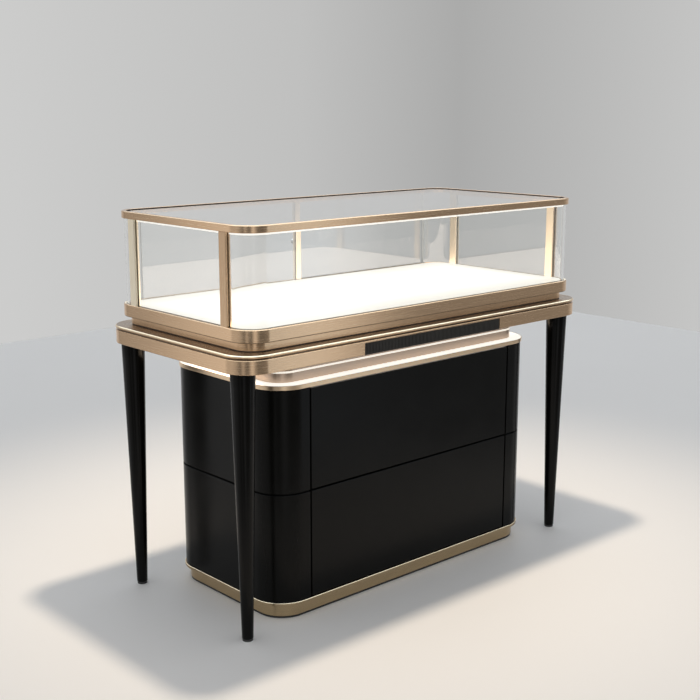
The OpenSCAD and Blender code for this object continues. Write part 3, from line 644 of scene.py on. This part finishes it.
# Faintly glowing glass edges: painted light
PAINTED_GLOW_EDGE = lit_plastic("painted_glow_glass_edge", (0.92, 0.95, 0.93), 0.07)
STRIP_BLACK = plain_plastic("ribbed_black", (0.019, 0.016, 0.012), 0.38, 500)
MATT_BLACK = plain_plastic("matt_black", (0.014, 0.014, 0.013), 0.5, 500)
NYLON = plain_plastic("black_nylon", (0.018, 0.018, 0.018), 0.4, 600)
ZINC = zinc_plated("zinc_plated_steel")
CHROME = polished("satin_chrome", (0.50, 0.48, 0.45), (0.30, 0.40))
WHITE_ENAMEL = plain_plastic("white_enamel", (0.62, 0.62, 0.60), 0.35, 900, 0.02 * MM)
WHITE_SHEATH = plain_plastic("white_sheath", (0.58, 0.58, 0.56), 0.45)
ROCKER_RED = plain_plastic("red_rocker", (0.33, 0.02, 0.015), 0.22, 800, 0.01 * MM)

slot_finish = {
    "champagne_metal": METAL_PLAIN, "dark_bronze": PAINTED_SHADE_BRONZE, "clear_glass": GLASS, "opal": CAP_LIGHT,
    "black_lacquer": BODY_BLACK, "black_legs": LEG_BLACK, "carcass_board": BOARD,
    "plain_steel": ZINC, "gasket": GASKET, "clear_plastic": CLEAR, "light_board": BOARD_LIGHT,
    "ribbed_strip": STRIP_BLACK, "underside": MATT_BLACK, "nylon": NYLON,
    "driver_case": WHITE_ENAMEL, "lead": WHITE_SHEATH, "switch_black": MATT_BLACK,
    "rocker": ROCKER_RED, "chrome": CHROME,
}
node_finish = {
    "display_deck": DECK_LIGHT, "led_bars": BAR_LIGHT, "cabinet_light_strips": LINE_LIGHT,
    # The door tracks and door frames take the paler copy: painted light from the deck
    "door_tracks": PAINTED_GLOW_METAL_PLAIN, "door_left_frame": PAINTED_GLOW_METAL_PLAIN,
    "door_right_frame": PAINTED_GLOW_METAL_PLAIN,
}
for name, node in nodes.items():
    node.data.materials.clear()
    node.data.materials.append(node_finish.get(name, slot_finish[slot_of[name]]))


# Case

case_l, case_d = plan_size("top_frame")
rail_z, top_z = low("top_frame").z, high("top_frame").z
base_z, deck_z = low("base_frame").z, high("base_frame").z
door_x = high("door_jambs").x
post_low, post_high = low("rear_posts").y, high("rear_posts").y


def case_way(**words):
    return way_round(case_l, case_d, CASE_RADIUS, **words)


def sweep_rail(shape, profile, back):
    """One profile round the case up to the door opening, and another along the opening."""
    round_way = case_way(corners=(2, 3, 0, 1), begin=-door_x, end=door_x)
    back_way = case_way(straight=BACK, begin=door_x, end=-door_x)
    shape.sweep(outline_corners(profile), round_way, CASE_RADIUS, closed=False)
    shape.sweep(outline_corners(back), back_way, CASE_RADIUS, closed=False)


def make_top_frame():
    shape = Shape()
    rebate_z = top_z - REBATE_DEPTH
    profile = [
        (0, rail_z, 1.4 * MM), (0, top_z, 2.4 * MM), (REBATE_IN, top_z, 0.5 * MM),
        (REBATE_IN, rebate_z, 0), (TOP_RAIL, rebate_z, 0.6 * MM)]
    groove_z = rail_z + GROOVE_HIGH
    groove = [(TOP_RAIL, rail_z, 1.0 * MM), (GROOVE_FAR, rail_z, 0), (GROOVE_FAR, groove_z, 0),
              (GROOVE_NEAR, groove_z, 0), (GROOVE_NEAR, rail_z, 0)]
    track_z = rail_z + TOP_TRACK_HEIGHT
    track = [(TOP_RAIL, rail_z, EASED), (TRACK_FAR, rail_z, 0), (TRACK_FAR, track_z, 0),
             (TRACK_NEAR, track_z, 0), (TRACK_NEAR, rail_z, 0)]
    sweep_rail(shape, profile + groove, profile + track)
    dress(shape.finish("top_frame_rail"), METAL, "top_frame")


def make_base_frame():
    """Ring round the deck, with painted light where it looks into the case and painted shade where
    it turns under.
    """
    shape = Shape()
    soft = 2.6 * MM
    pocket_z = low("display_deck").z
    outside = [(BASE_WIDTH, pocket_z, 0), (BASE_WIDTH, base_z, 0), (-BASE_OUT, base_z, soft),
               (-BASE_OUT, deck_z, soft)]
    profile = outside + [
        (GROOVE_NEAR, deck_z, EASED), (GROOVE_NEAR, deck_z - GROOVE_LOW, 0),
        (GROOVE_FAR, deck_z - GROOVE_LOW, 0), (GROOVE_FAR, deck_z, EASED),
        (DECK_IN, deck_z, EASED), (DECK_IN, pocket_z, 0)]
    back = outside + [
        (TRACK_NEAR, deck_z, EASED), (TRACK_NEAR, deck_z - LOW_TRACK_HEIGHT, 0),
        (TRACK_FAR, deck_z - LOW_TRACK_HEIGHT, 0), (TRACK_FAR, deck_z, BROKEN),
        (DECK_BACK_IN, deck_z, BROKEN), (DECK_BACK_IN, pocket_z, 0)]
    sweep_rail(shape, profile, back)
    piece = dress(shape.finish("base_frame_rail"), METAL, "base_frame")
    reach_x, reach_y = case_l / 2 - GROOVE_NEAR, case_d / 2 - 0.6 * GROOVE_NEAR
    # Painted light from the deck on the inner top faces, and painted shade on the faces that turn
    # under
    second_finish(piece, PAINTED_GLOW_METAL, lambda face: (
        face.normal.z > 0.9 and abs(face.center.x) < reach_x and abs(face.center.y) < reach_y))
    second_finish(piece, PAINTED_SHADE_METAL, facing_up(-0.97, -0.12))


def make_posts(node, y_sign):
    """H-section posts: a wide flat outer face, and a groove on either side for the glass."""
    shape = Shape()
    edge = 1.0 * MM
    inner_y, outer_y = sorted((abs(low(node).y), abs(high(node).y)))
    reach = case_l / 2
    end = reach - POST_DEPTH
    corners = [
        (reach, inner_y, edge), (reach, outer_y, edge),
        (reach - GROOVE_NEAR, outer_y, BROKEN),
        (reach - GROOVE_NEAR, outer_y - POST_GROOVE, 0),
        (reach - GROOVE_FAR, outer_y - POST_GROOVE, 0),
        (reach - GROOVE_FAR, outer_y, BROKEN),
        (end, outer_y, edge), (end, inner_y, edge),
        (reach - GROOVE_FAR, inner_y, BROKEN),
        (reach - GROOVE_FAR, inner_y + POST_GROOVE, 0),
        (reach - GROOVE_NEAR, inner_y + POST_GROOVE, 0),
        (reach - GROOVE_NEAR, inner_y, BROKEN)]
    for x_sign in (-1, 1):
        outline = [(x * x_sign, y * y_sign) for x, y in outline_corners(corners)]
        shape.prism(outline, low(node).z, high(node).z)
    piece = dress(shape.finish(node.replace("posts", "post_bars")), METAL, node)
    inward = -0.2 * reach
    # Painted light from the deck on the faces that look into the case; the rear posts' other faces
    # get a brighter painted glow
    second_finish(piece, PAINTED_GLOW_METAL, lambda face: face.normal.x * face.center.x < inward)
    if y_sign > 0:
        second_finish(piece, PAINTED_BRIGHT_GLOW_METAL, lambda face: face.normal.x * face.center.x > inward)


def make_wall_glass():
    """Bent front pane, bent rear corners and flat side panes, each with a fine polished arris."""
    bottom, top = low("front_glass").z, high("front_glass").z
    section = outline_corners([
        (GLASS_NEAR, bottom, ARRIS), (GLASS_NEAR, top, ARRIS),
        (GLASS_FAR, top, ARRIS), (GLASS_FAR, bottom, ARRIS)])
    stop = high("front_glass").y
    pane = Shape()
    pane.sweep(section, case_way(corners=(3, 0), begin=stop, end=stop), CASE_RADIUS, closed=False)
    dress(pane.finish("front_pane_bent"), GLASS, "front_glass")
    stop = low("rear_corner_glasses").y
    corners = Shape()
    end = door_x + EDGE_GAP
    corners.sweep(section, case_way(corners=(1,), begin=stop, end=end), CASE_RADIUS, closed=False)
    corners.sweep(section, case_way(corners=(2,), begin=-end, end=stop), CASE_RADIUS, closed=False)
    piece = dress(corners.finish("rear_corner_panes"), GLASS, "rear_corner_glasses")
    # The end faces of the rear corner panes beside the doors glow: painted light
    edge_reach = end + 1 * MM
    second_finish(piece, PAINTED_GLOW_EDGE, lambda face: (
        abs(face.normal.x) > 0.9 and abs(face.center.x) < edge_reach))
    sides = Shape()
    lo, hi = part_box("side_glasses")
    for sign in (-1, 1):
        ends = sorted((sign * (case_l / 2 - GLASS_NEAR), sign * (case_l / 2 - GLASS_FAR)))
        sides.box((ends[0], lo.y, lo.z), (ends[1], hi.y, hi.z), ARRIS, 2)
    dress(sides.finish("side_panes", boxes=True), GLASS, "side_glasses")


def make_top_glass():
    """Top pane lying just below the rail's lip, held by a thin bead, whose dark brown is painted
    shade of the gap between glass and rail.
    """
    shape = Shape()
    lo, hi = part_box("top_glass")
    arris = 0.8 * MM
    inset = (case_l - (hi.x - lo.x)) / 2
    deep = CASE_RADIUS - 20 * MM
    over = hi.z - GLASS_DROP
    outline = outline_corners([
        (deep, lo.z, 0), (inset, lo.z, arris), (inset, over, arris), (deep, over, 0)])
    shape.close_slab(shape.sweep(outline, case_way(), CASE_RADIUS))
    dress(shape.finish("top_pane"), GLASS, "top_glass")
    bead = Shape()
    near = REBATE_IN + BEAD_GAP
    far = near + BEAD
    foot = over + BEAD_GAP
    section = outline_corners([
        (near, foot, 0), (near, hi.z - 0.3 * MM, 0),
        (far, hi.z - 0.6 * MM, 0.2 * MM), (far, foot, 0)])
    bead.sweep(section, case_way(), CASE_RADIUS)
    # The bead's dark brown is painted shade of the gap between glass and rail
    trim(bead.finish("top_bead"), PAINTED_SHADE_STRIP, "glazing_gaskets")


def make_light_bars():
    """Light bars and their channels, under the front rail and under each side rail."""
    front_end = -post_high - FIT_GAP
    side_end = post_low - FIT_GAP
    ways = [case_way(corners=(3, 0), begin=front_end, end=front_end)]
    ways += [case_way(straight=k, begin=-side_end, end=side_end) for k in (RIGHT, LEFT)]
    outside = BAR_IN + BAR_WIDTH
    edge = 0.8 * MM
    bottom, top = low("led_bars").z, high("led_bars").z
    bar = [(BAR_IN, bottom, edge), (BAR_IN, top, 0), (outside, top, 0), (outside, bottom, edge)]
    bottom, top = low("led_channels").z, high("led_channels").z
    web = top - CHANNEL_WALL
    channel = [(BAR_IN, web, 0), (CHANNEL_NEAR, web, 0), (CHANNEL_NEAR, bottom, BROKEN),
               (CHANNEL_FAR, bottom, BROKEN), (CHANNEL_FAR, top, 0), (BAR_IN, top, 0)]
    for profile, name, material, node in (
            (bar, "light_bars", BAR_LIGHT, "led_bars"),
            (channel, "light_channels", METAL, "led_channels")):
        shape = Shape()
        for way in ways:
            shape.sweep(outline_corners(profile), way, CASE_RADIUS, closed=False)
        dress(shape.finish(name), material, node)


def make_riser():
    """Riser with a groove at its head and its foot, and in each a thin dark strip of painted shade.
    """
    shape = Shape()
    bottom, top = low("case_riser").z, high("case_riser").z
    deep = RISER_IN + RISER_GROOVE
    section = outline_corners([
        (deep, bottom, 0), (deep, bottom + SEAM, 0), (RISER_IN, bottom + SEAM, 0.6 * MM),
        (RISER_IN, top - SEAM, 0.6 * MM), (deep, top - SEAM, 0), (deep, top, 0),
        (RISER_IN + RISER_WIDTH, top, 0), (RISER_IN + RISER_WIDTH, bottom, 0)])
    shape.sweep(section, case_way(), CASE_RADIUS)
    dress(shape.finish("riser_band"), METAL, "case_riser")
    # Dark strips in the head and foot grooves: painted shade
    shade_lines = Shape()
    near, far = RISER_IN + 1.2 * MM, deep - HAIR_GAP
    for under, over in ((bottom + HAIR_GAP, bottom + SEAM - HAIR_GAP),
                        (top - SEAM + HAIR_GAP, top - HAIR_GAP)):
        section = [(near, under), (near, over), (far, over), (far, under)]
        shade_lines.sweep(section, case_way(), CASE_RADIUS)
    trim(shade_lines.finish("riser_shade_lines"), PAINTED_SHADE_STRIP, "case_riser")


make_top_frame()
make_base_frame()
make_posts("front_posts", -1)
make_posts("rear_posts", 1)
make_wall_glass()
make_top_glass()
make_light_bars()
make_riser()
softened("door_jambs", CLEAR, 0.5 * MM, "jamb_strips")


# Table

table_l, table_d = plan_size("table_plate")
apron_z, spacer_z = low("table_apron").z, high("table_apron").z


def table_way(**words):
    return way_round(table_l, table_d, TABLE_RADIUS, **words)


def make_table_plate():
    """Plate with a half-round lip, painted shade on its top face and a painted highlight on its
    lip.
    """
    shape = Shape()
    bottom, top = low("table_plate").z, high("table_plate").z
    half = (top - bottom) / 2
    deep = TABLE_RADIUS - 10 * MM
    middle = bottom + half
    arc_steps = 12
    outline = [Vector((deep, bottom)), Vector((half + FILLET_PAD, bottom))]
    for step in range(arc_steps + 1):
        angle = math.pi * step / arc_steps
        outline.append(Vector((half - half * math.sin(angle), middle - half * math.cos(angle))))
    outline += [Vector((half + FILLET_PAD, top)), Vector((deep, top))]
    shape.close_slab(shape.sweep(outline, table_way(), TABLE_RADIUS))
    piece = dress(shape.finish("plate_with_lip"), METAL, "table_plate")
    # Painted shade on the plate's top face, and a painted highlight on the upper part of its lip
    second_finish(piece, PAINTED_SHADE_METAL, facing_up(0.99))
    second_finish(piece, PAINTED_HIGHLIGHT_METAL, facing_up(0.05, 0.99))


def make_apron():
    """Apron with a shallow pocket in its front for the dark strip."""
    shape = Shape()
    soft = 1.6 * MM
    pocket_end = high("apron_strip").x + FIT_GAP
    pocket_top = high("apron_strip").z + FIT_GAP
    pocket_in = APRON_IN + STRIP_POCKET
    wall_in, flange_z = APRON_IN + APRON_WALL, spacer_z - FLANGE
    inside = [(FLANGE_WIDTH, spacer_z, 0), (FLANGE_WIDTH, flange_z, 0),
              (wall_in, flange_z, 0), (wall_in, apron_z, BROKEN)]
    plain = [(APRON_IN, apron_z, soft), (APRON_IN, spacer_z, soft)] + inside
    pocket = [(pocket_in, apron_z, 0.2 * MM), (pocket_in, pocket_top, 0),
              (APRON_IN, pocket_top, EASED), (APRON_IN, spacer_z, soft)] + inside
    round_way = table_way(begin=pocket_end, end=-pocket_end)
    front_way = table_way(straight=FRONT, begin=-pocket_end, end=pocket_end)
    shape.sweep(outline_corners(plain), round_way, TABLE_RADIUS, closed=False)
    shape.sweep(outline_corners(pocket), front_way, TABLE_RADIUS, closed=False)
    dress(shape.finish("apron_band"), METAL, "table_apron")


def make_legs(node, y):
    """Turned legs: a straight taper with a small round at the foot and at the shoulder."""
    bottom, top = low(node).z, high(node).z
    edge = 1 * MM
    edge_steps, taper_steps = 4, 16
    taper_end = 0.995
    profile = [(0, bottom), (FOOT_RADIUS - 1.4 * MM, bottom)]
    for step in range(edge_steps + 1):
        angle = math.pi / 2 * step / edge_steps
        profile.append((FOOT_RADIUS - edge + edge * math.sin(angle),
                        bottom + edge - edge * math.cos(angle)))
    for step in range(1, taper_steps + 1):
        share = step / taper_steps
        profile.append((FOOT_RADIUS + (SHOULDER_RADIUS - FOOT_RADIUS) * share * taper_end,
                        bottom + edge + (top - bottom - 2 * edge) * share))
    profile += [(SHOULDER_RADIUS - 0.5 * MM, top - 0.3 * MM), (SHOULDER_RADIUS - 1.2 * MM, top),
                (0, top)]
    shape = Shape()
    x = high("leg_studs").x - STUD_RADIUS
    for sign in (-1, 1):
        shape.lathe(profile, (sign * x, y))
    dress(shape.finish(node.replace("legs", "turned_legs")), LEG_BLACK, node)


make_table_plate()
make_apron()
leg_y = high("leg_studs").y - STUD_RADIUS
make_legs("front_legs", -leg_y)
make_legs("rear_legs", leg_y)


# Cabinet

cap_l, cap_d = plan_size("cap_band")
cap_z, halo_z = low("cap_band").z, high("cap_band").z
body_l = high("shell_right").x - low("shell_left").x
body_d = high("shell_right").y - low("shell_right").y
shell_x = low("shell_right").x
cap_way = way_round(cap_l, cap_d, CAP_RADIUS)


def make_cap_band():
    """Band with a shelf behind its rim for the lit surface."""
    shape = Shape()
    shelf = halo_z - DIFFUSER_HEIGHT
    section = outline_corners([
        (0, cap_z, 1.2 * MM), (0, halo_z, 0.9 * MM), (BAND_RIM, halo_z, BROKEN),
        (BAND_RIM, shelf, 0), (BAND_LAP, shelf, 0), (BAND_LAP, cap_z, 0)])
    shape.sweep(section, cap_way, CAP_RADIUS)
    # The cap band takes the lighter copy: painted light from the lit surface
    dress(shape.finish("cap_rim"), CAP_PAINTED_GLOW_METAL, "cap_band")


def make_neck():
    """Neck with the groove of the light line across the front and along both ends."""
    shape = Shape()
    bottom, top = low("neck").z, high("neck").z
    length, depth = plan_size("neck")
    line_end = depth / 2 - NECK_RADIUS
    line_low, line_high = cap_z + LINE_LOW, cap_z + LINE_HIGH
    inside = [(0, top, 0), (NECK_WALL, top, 0), (NECK_WALL, bottom, 0)]
    grooved = [(0, bottom, 0), (0, line_low, BROKEN), (LINE_DEPTH, line_low, 0),
               (LINE_DEPTH, line_high, 0), (0, line_high, BROKEN)] + inside
    plain = [(0, bottom, 0)] + inside
    for section, corners in ((grooved, (3, 0)), (plain, (1, 2))):
        way = way_round(length, depth, NECK_RADIUS, corners, line_end, line_end)
        shape.sweep(outline_corners(section), way, NECK_RADIUS, closed=False)
    dress(shape.finish("neck_box"), NECK_METAL, "neck")


def make_shell(node, corners, end):
    """Curved end shell with the horizontal groove cut round it."""
    shape = Shape()
    lo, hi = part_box(node)
    groove_low = high("lower_drawer_front").z
    groove_high = low("upper_drawer_front").z
    edge = 0.8 * MM
    section = outline_corners([
        (0, lo.z, edge), (0, groove_low, edge), (REVEAL_DEPTH, groove_low, 0),
        (REVEAL_DEPTH, groove_high, 0), (0, groove_high, edge), (0, hi.z, edge),
        (SHELL_WALL, hi.z, 0), (SHELL_WALL, lo.z, 0)])
    way = way_round(body_l, body_d, BODY_RADIUS, corners, end, end)
    shape.sweep(section, way, BODY_RADIUS, closed=False)
    dress(shape.finish(node + "_skin"), BODY_BLACK, node)


def make_drawer_front(node):
    shape = Shape()
    shape.box(*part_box(node), 1.0 * MM, 3)
    dress(shape.finish(node + "_panel", boxes=True), BODY_BLACK, node)


def make_ledge():
    shape = Shape()
    bottom, top = low("ledge_plate").z, high("ledge_plate").z
    deep, edge = CAP_RADIUS - 10 * MM, 1.2 * MM
    outline = outline_corners([
        (deep, bottom, 0), (0, bottom, edge), (0, top, edge), (deep, top, 0)])
    shape.close_slab(shape.sweep(outline, cap_way, CAP_RADIUS))
    piece = dress(shape.finish("ledge"), FOOT_METAL, "ledge_plate")
    # Painted highlight on the upward-facing part of the ledge's top edge
    second_finish(piece, PAINTED_HIGHLIGHT_METAL, facing_up(0.2, 0.99))


def make_plinth():
    """Plinth that stands on a narrower recessed seal, whose black is painted shade for the dark
    line where the plinth meets the floor.
    """
    floor_z, top = low("plinth").z, high("plinth").z
    bottom = floor_z + PLINTH_SEAL
    near, far = PLINTH_IN, PLINTH_IN + PLINTH_WALL
    edge = 1.0 * MM
    band = Shape()
    section = outline_corners([
        (near, bottom, edge), (near, top, 0), (far, top, 0), (far, bottom, edge)])
    band.sweep(section, cap_way, CAP_RADIUS)
    dress(band.finish("plinth_band"), FOOT_METAL, "plinth")
    seal = Shape()
    near, far = near + 2 * MM, far - 2 * MM
    section = outline_corners([
        (near, floor_z, EASED), (near, bottom, 0), (far, bottom, 0), (far, floor_z, EASED)])
    seal.sweep(section, cap_way, CAP_RADIUS)
    trim(seal.finish("plinth_seal"), MATT_BLACK, "plinth")


make_cap_band()
make_neck()
make_shell("shell_right", (0, 1), shell_x)
make_shell("shell_left", (2, 3), -shell_x)
make_drawer_front("upper_drawer_front")
make_drawer_front("lower_drawer_front")
make_ledge()
make_plinth()


# Rear doors, lock and switch

def make_door(side):
    shape = Shape()
    shape.box(*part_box(f"door_{side}_glass"), ARRIS, 2)
    piece = dress(shape.finish(f"door_{side}_pane", boxes=True), GLASS, f"door_{side}_glass")
    # The upright edges of the door pane glow: painted light
    second_finish(piece, PAINTED_GLOW_EDGE, lambda face: abs(face.normal.x) > 0.9)


make_door("left")
make_door("right")
softened("lock_body", CHROME, 0.5 * MM, "lock_barrel")
softened("lock_plug", CHROME, 0.3 * MM, "lock_core")
softened("switch_housing", MATT_BLACK, 0.4 * MM, "switch_frame")
softened("switch_rocker", ROCKER_RED, 0.3 * MM, "switch_cap")


# Stage, lamps and camera

# The room's floor ends at the foot of the two walls behind
FLOOR_NEAR = -9.0
WALL_X, WALL_Y = 3.65, 3.46
FLOOR_PALE = (0.86, 0.86, 0.858)

# Distances from the object over which the floor gives way to the world, for the eye and in mirrors
FLOOR_FADE = (5.1, 7.5)
MIRRORED_FADE = (1.0, 1.8)

# What polished and brushed surfaces see round the room: bearing in degrees and level
SOFTBOXES = [
    (-180, 0.50), (-170, 0.34), (-160, 0.16), (-150, 0.55), (-141, 0.22), (-130, 0.14),
    (-123, 0.60), (-115, 0.85), (-107, 0.42), (-97, 0.16), (-75, 0.16), (-68, 0.22),
    (-57, 0.24), (-51, 1.25), (-48.8, 1.20), (-46.2, 0.12), (-43, 0.28), (-36, 0.30),
    (-15, 0.50), (20, 0.62), (100, 0.60), (116, 0.36), (121, 0.40), (127, 1.00),
    (145, 0.60), (165, 0.62), (180, 0.50)]

# Bearings between which the softboxes are cool, and their tint
COOL_BOX = (-53, -50)
COOL_TINT = (0.92, 1.05, 1.18)

# The two walls behind: bearing and level, with the room's corner between them
WALLS = [(15, 0.60), (29, 0.585), (42.5, 0.405), (50, 0.525), (64, 0.605), (80, 0.605)]
WALL_TINT = (1.0, 1.0, 0.99)

AMBIENT_LEVEL = 0.58
CEILING_TINT = (0.88, 1.0, 1.12)
CEILING_LEVEL = 2.6


def levels(tree, bearing, stops, tinted=(0, 0), tint=(1.0, 1.0, 1.0)):
    """Light by bearing, from stops of (degrees, level); those within tinted get the tint."""
    start, stop = stops[0][0], stops[-1][0]
    rows = []
    for place, level in stops:
        inside = tinted[0] < place < tinted[1]
        rows.append(((place - start) / (stop - start), shade(tint if inside else (1, 1, 1), level)))
    return ramp(tree, remap(tree, bearing, start, stop, curve="LINEAR"), rows)


def make_floor():
    """Pale floor of a room whose two far walls are part of the world."""
    shape = bmesh.new()
    corners = [
        (FLOOR_NEAR, FLOOR_NEAR), (WALL_X, FLOOR_NEAR), (WALL_X, WALL_Y), (FLOOR_NEAR, WALL_Y)]
    shape.faces.new([shape.verts.new((x, y, 0)) for x, y in corners])
    data = bpy.data.meshes.new("floor")
    shape.to_mesh(data)
    shape.free()
    floor = bpy.data.objects.new("floor", data)
    bpy.context.scene.collection.objects.link(floor)
    made = Surface("pale_floor", Roughness=0.55, Specular_IOR_Level=0.12)
    tree = made.tree
    made.cloud("Base Color", made.noise(scale=0.8), FLOOR_PALE, 0.98, 1.0)
    clear = tree.nodes.new("ShaderNodeBsdfTransparent")
    place = tree.nodes.new("ShaderNodeTexCoord")
    length = tree.nodes.new("ShaderNodeVectorMath")
    length.operation = "LENGTH"
    made.link(place.outputs["Object"], length.inputs[0])
    away = length.outputs["Value"]
    path = tree.nodes.new("ShaderNodeLightPath")
    ends = math_node(tree, "MULTIPLY", remap(tree, away, *FLOOR_FADE), seen_directly(tree))
    glossy = math_node(
        tree, "MULTIPLY", remap(tree, away, *MIRRORED_FADE), path.outputs["Is Glossy Ray"])
    mixed = tree.nodes.new("ShaderNodeMixShader")
    made.link(math_node(tree, "MAXIMUM", ends, glossy), mixed.inputs["Fac"])
    made.link(made.shader.outputs["BSDF"], mixed.inputs[1])
    made.link(clear.outputs["BSDF"], mixed.inputs[2])
    made.link(mixed.outputs["Shader"], made.out.inputs["Surface"])
    floor.data.materials.append(made.material)


def make_world():
    """A grey room: walls for the eye, softboxes for reflections, and even light for the rest."""
    world = bpy.data.worlds.new("studio")
    world.use_nodes = True
    bpy.context.scene.world = world
    tree = world.node_tree
    parts = tree.nodes.new("ShaderNodeSeparateXYZ")
    tree.links.new(tree.nodes.new("ShaderNodeTexCoord").outputs["Generated"], parts.inputs[0])
    up = parts.outputs["Z"]
    turn = math_node(tree, "ARCTAN2", parts.outputs["Y"], parts.outputs["X"])
    bearing = math_node(tree, "MULTIPLY", turn, math.degrees(1))

    def light(colour, strength):
        node = tree.nodes.new("ShaderNodeBackground")
        supply(tree, node.inputs["Color"], colour)
        supply(tree, node.inputs["Strength"], strength)
        return node.outputs["Background"]

    def mix(factor, one, two):
        node = tree.nodes.new("ShaderNodeMixShader")
        for socket, source in zip(node.inputs, (factor, one, two)):
            tree.links.new(source, socket)
        return node.outputs["Shader"]

    ambient = light((1, 1, 1, 1), AMBIENT_LEVEL)
    # The softboxes are a fifth stronger below the horizon, and weaker again further down
    below = remap(tree, up, -0.22, -0.09, 1.2, 1.0)
    far_below = remap(tree, up, -0.31, -0.26, 0.76, 1.0)
    ring_level = math_node(tree, "MULTIPLY", below, far_below)
    ring = light(levels(tree, bearing, SOFTBOXES, COOL_BOX, COOL_TINT), ring_level)
    ceiling = light((*CEILING_TINT, 1), CEILING_LEVEL)
    mirrored = mix(remap(tree, up, 0.36, 0.62), ring, ceiling)
    walls = light((*WALL_TINT, 1), levels(tree, bearing, WALLS))
    path = tree.nodes.new("ShaderNodeLightPath")
    unseen = mix(path.outputs["Is Glossy Ray"], ambient, mirrored)
    shown = mix(seen_directly(tree), unseen, walls)
    tree.links.new(shown, tree.nodes["World Output"].inputs["Surface"])


def make_lamp(name, kind, place, power, colour):
    """A lamp that the camera sees neither itself nor through glass."""
    data = bpy.data.lights.new(name, kind)
    data.energy = power
    data.color = colour
    lamp = bpy.data.objects.new(name, data)
    lamp.location = place
    lamp.visible_camera = False
    lamp.visible_transmission = False
    bpy.context.scene.collection.objects.link(lamp)
    return lamp


def make_overhead():
    """Round lamp that points down, whose light fades out towards the edge of its cone."""
    lamp = make_lamp("overhead", "SPOT", (0.0, 0.02, 3.25), 255, (1.0, 0.84, 0.66))
    lamp.data.shadow_soft_size = 0.08
    lamp.data.spot_size = math.radians(64)
    lamp.data.spot_blend = 1.0
    lamp.visible_glossy = False


def make_glow(name, side):
    """Strip lamp facing out from an end of the neck, for the glow that the legs mirror."""
    place = (side * (cap_l / 2 - 25 * MM), 0.0, halo_z + 34 * MM)
    lamp = make_lamp(name, "AREA", place, 0.22, (1.0, 0.76, 0.52))
    lamp.data.shape = "RECTANGLE"
    lamp.data.size = 300 * MM
    lamp.data.size_y = 62 * MM
    lamp.rotation_euler = Vector((side, 0, 0)).to_track_quat("-Z", "Y").to_euler()


def photo_camera():
    """The photograph's viewpoint, found from the object's edges."""
    pitch, yaw = math.radians(12.0), math.radians(42.3)
    focal_px, frame_px, sensor = 1170.2, 700, 36
    data = bpy.data.cameras.new("photo_camera")
    data.sensor_fit = "HORIZONTAL"
    data.sensor_width = sensor
    data.lens = focal_px / frame_px * sensor
    camera = bpy.data.objects.new("photo_camera", data)
    camera.location = (-2.1537, -2.3316, 1.2693)
    camera.rotation_euler = (math.pi / 2 - pitch, 0, -yaw)
    bpy.context.scene.collection.objects.link(camera)
    bpy.context.scene.camera = camera


make_floor()
make_world()
photo_camera()
make_overhead()
make_glow("glow_left", -1)
make_glow("glow_right", 1)

bpy.context.scene.view_settings.view_transform = "Standard"
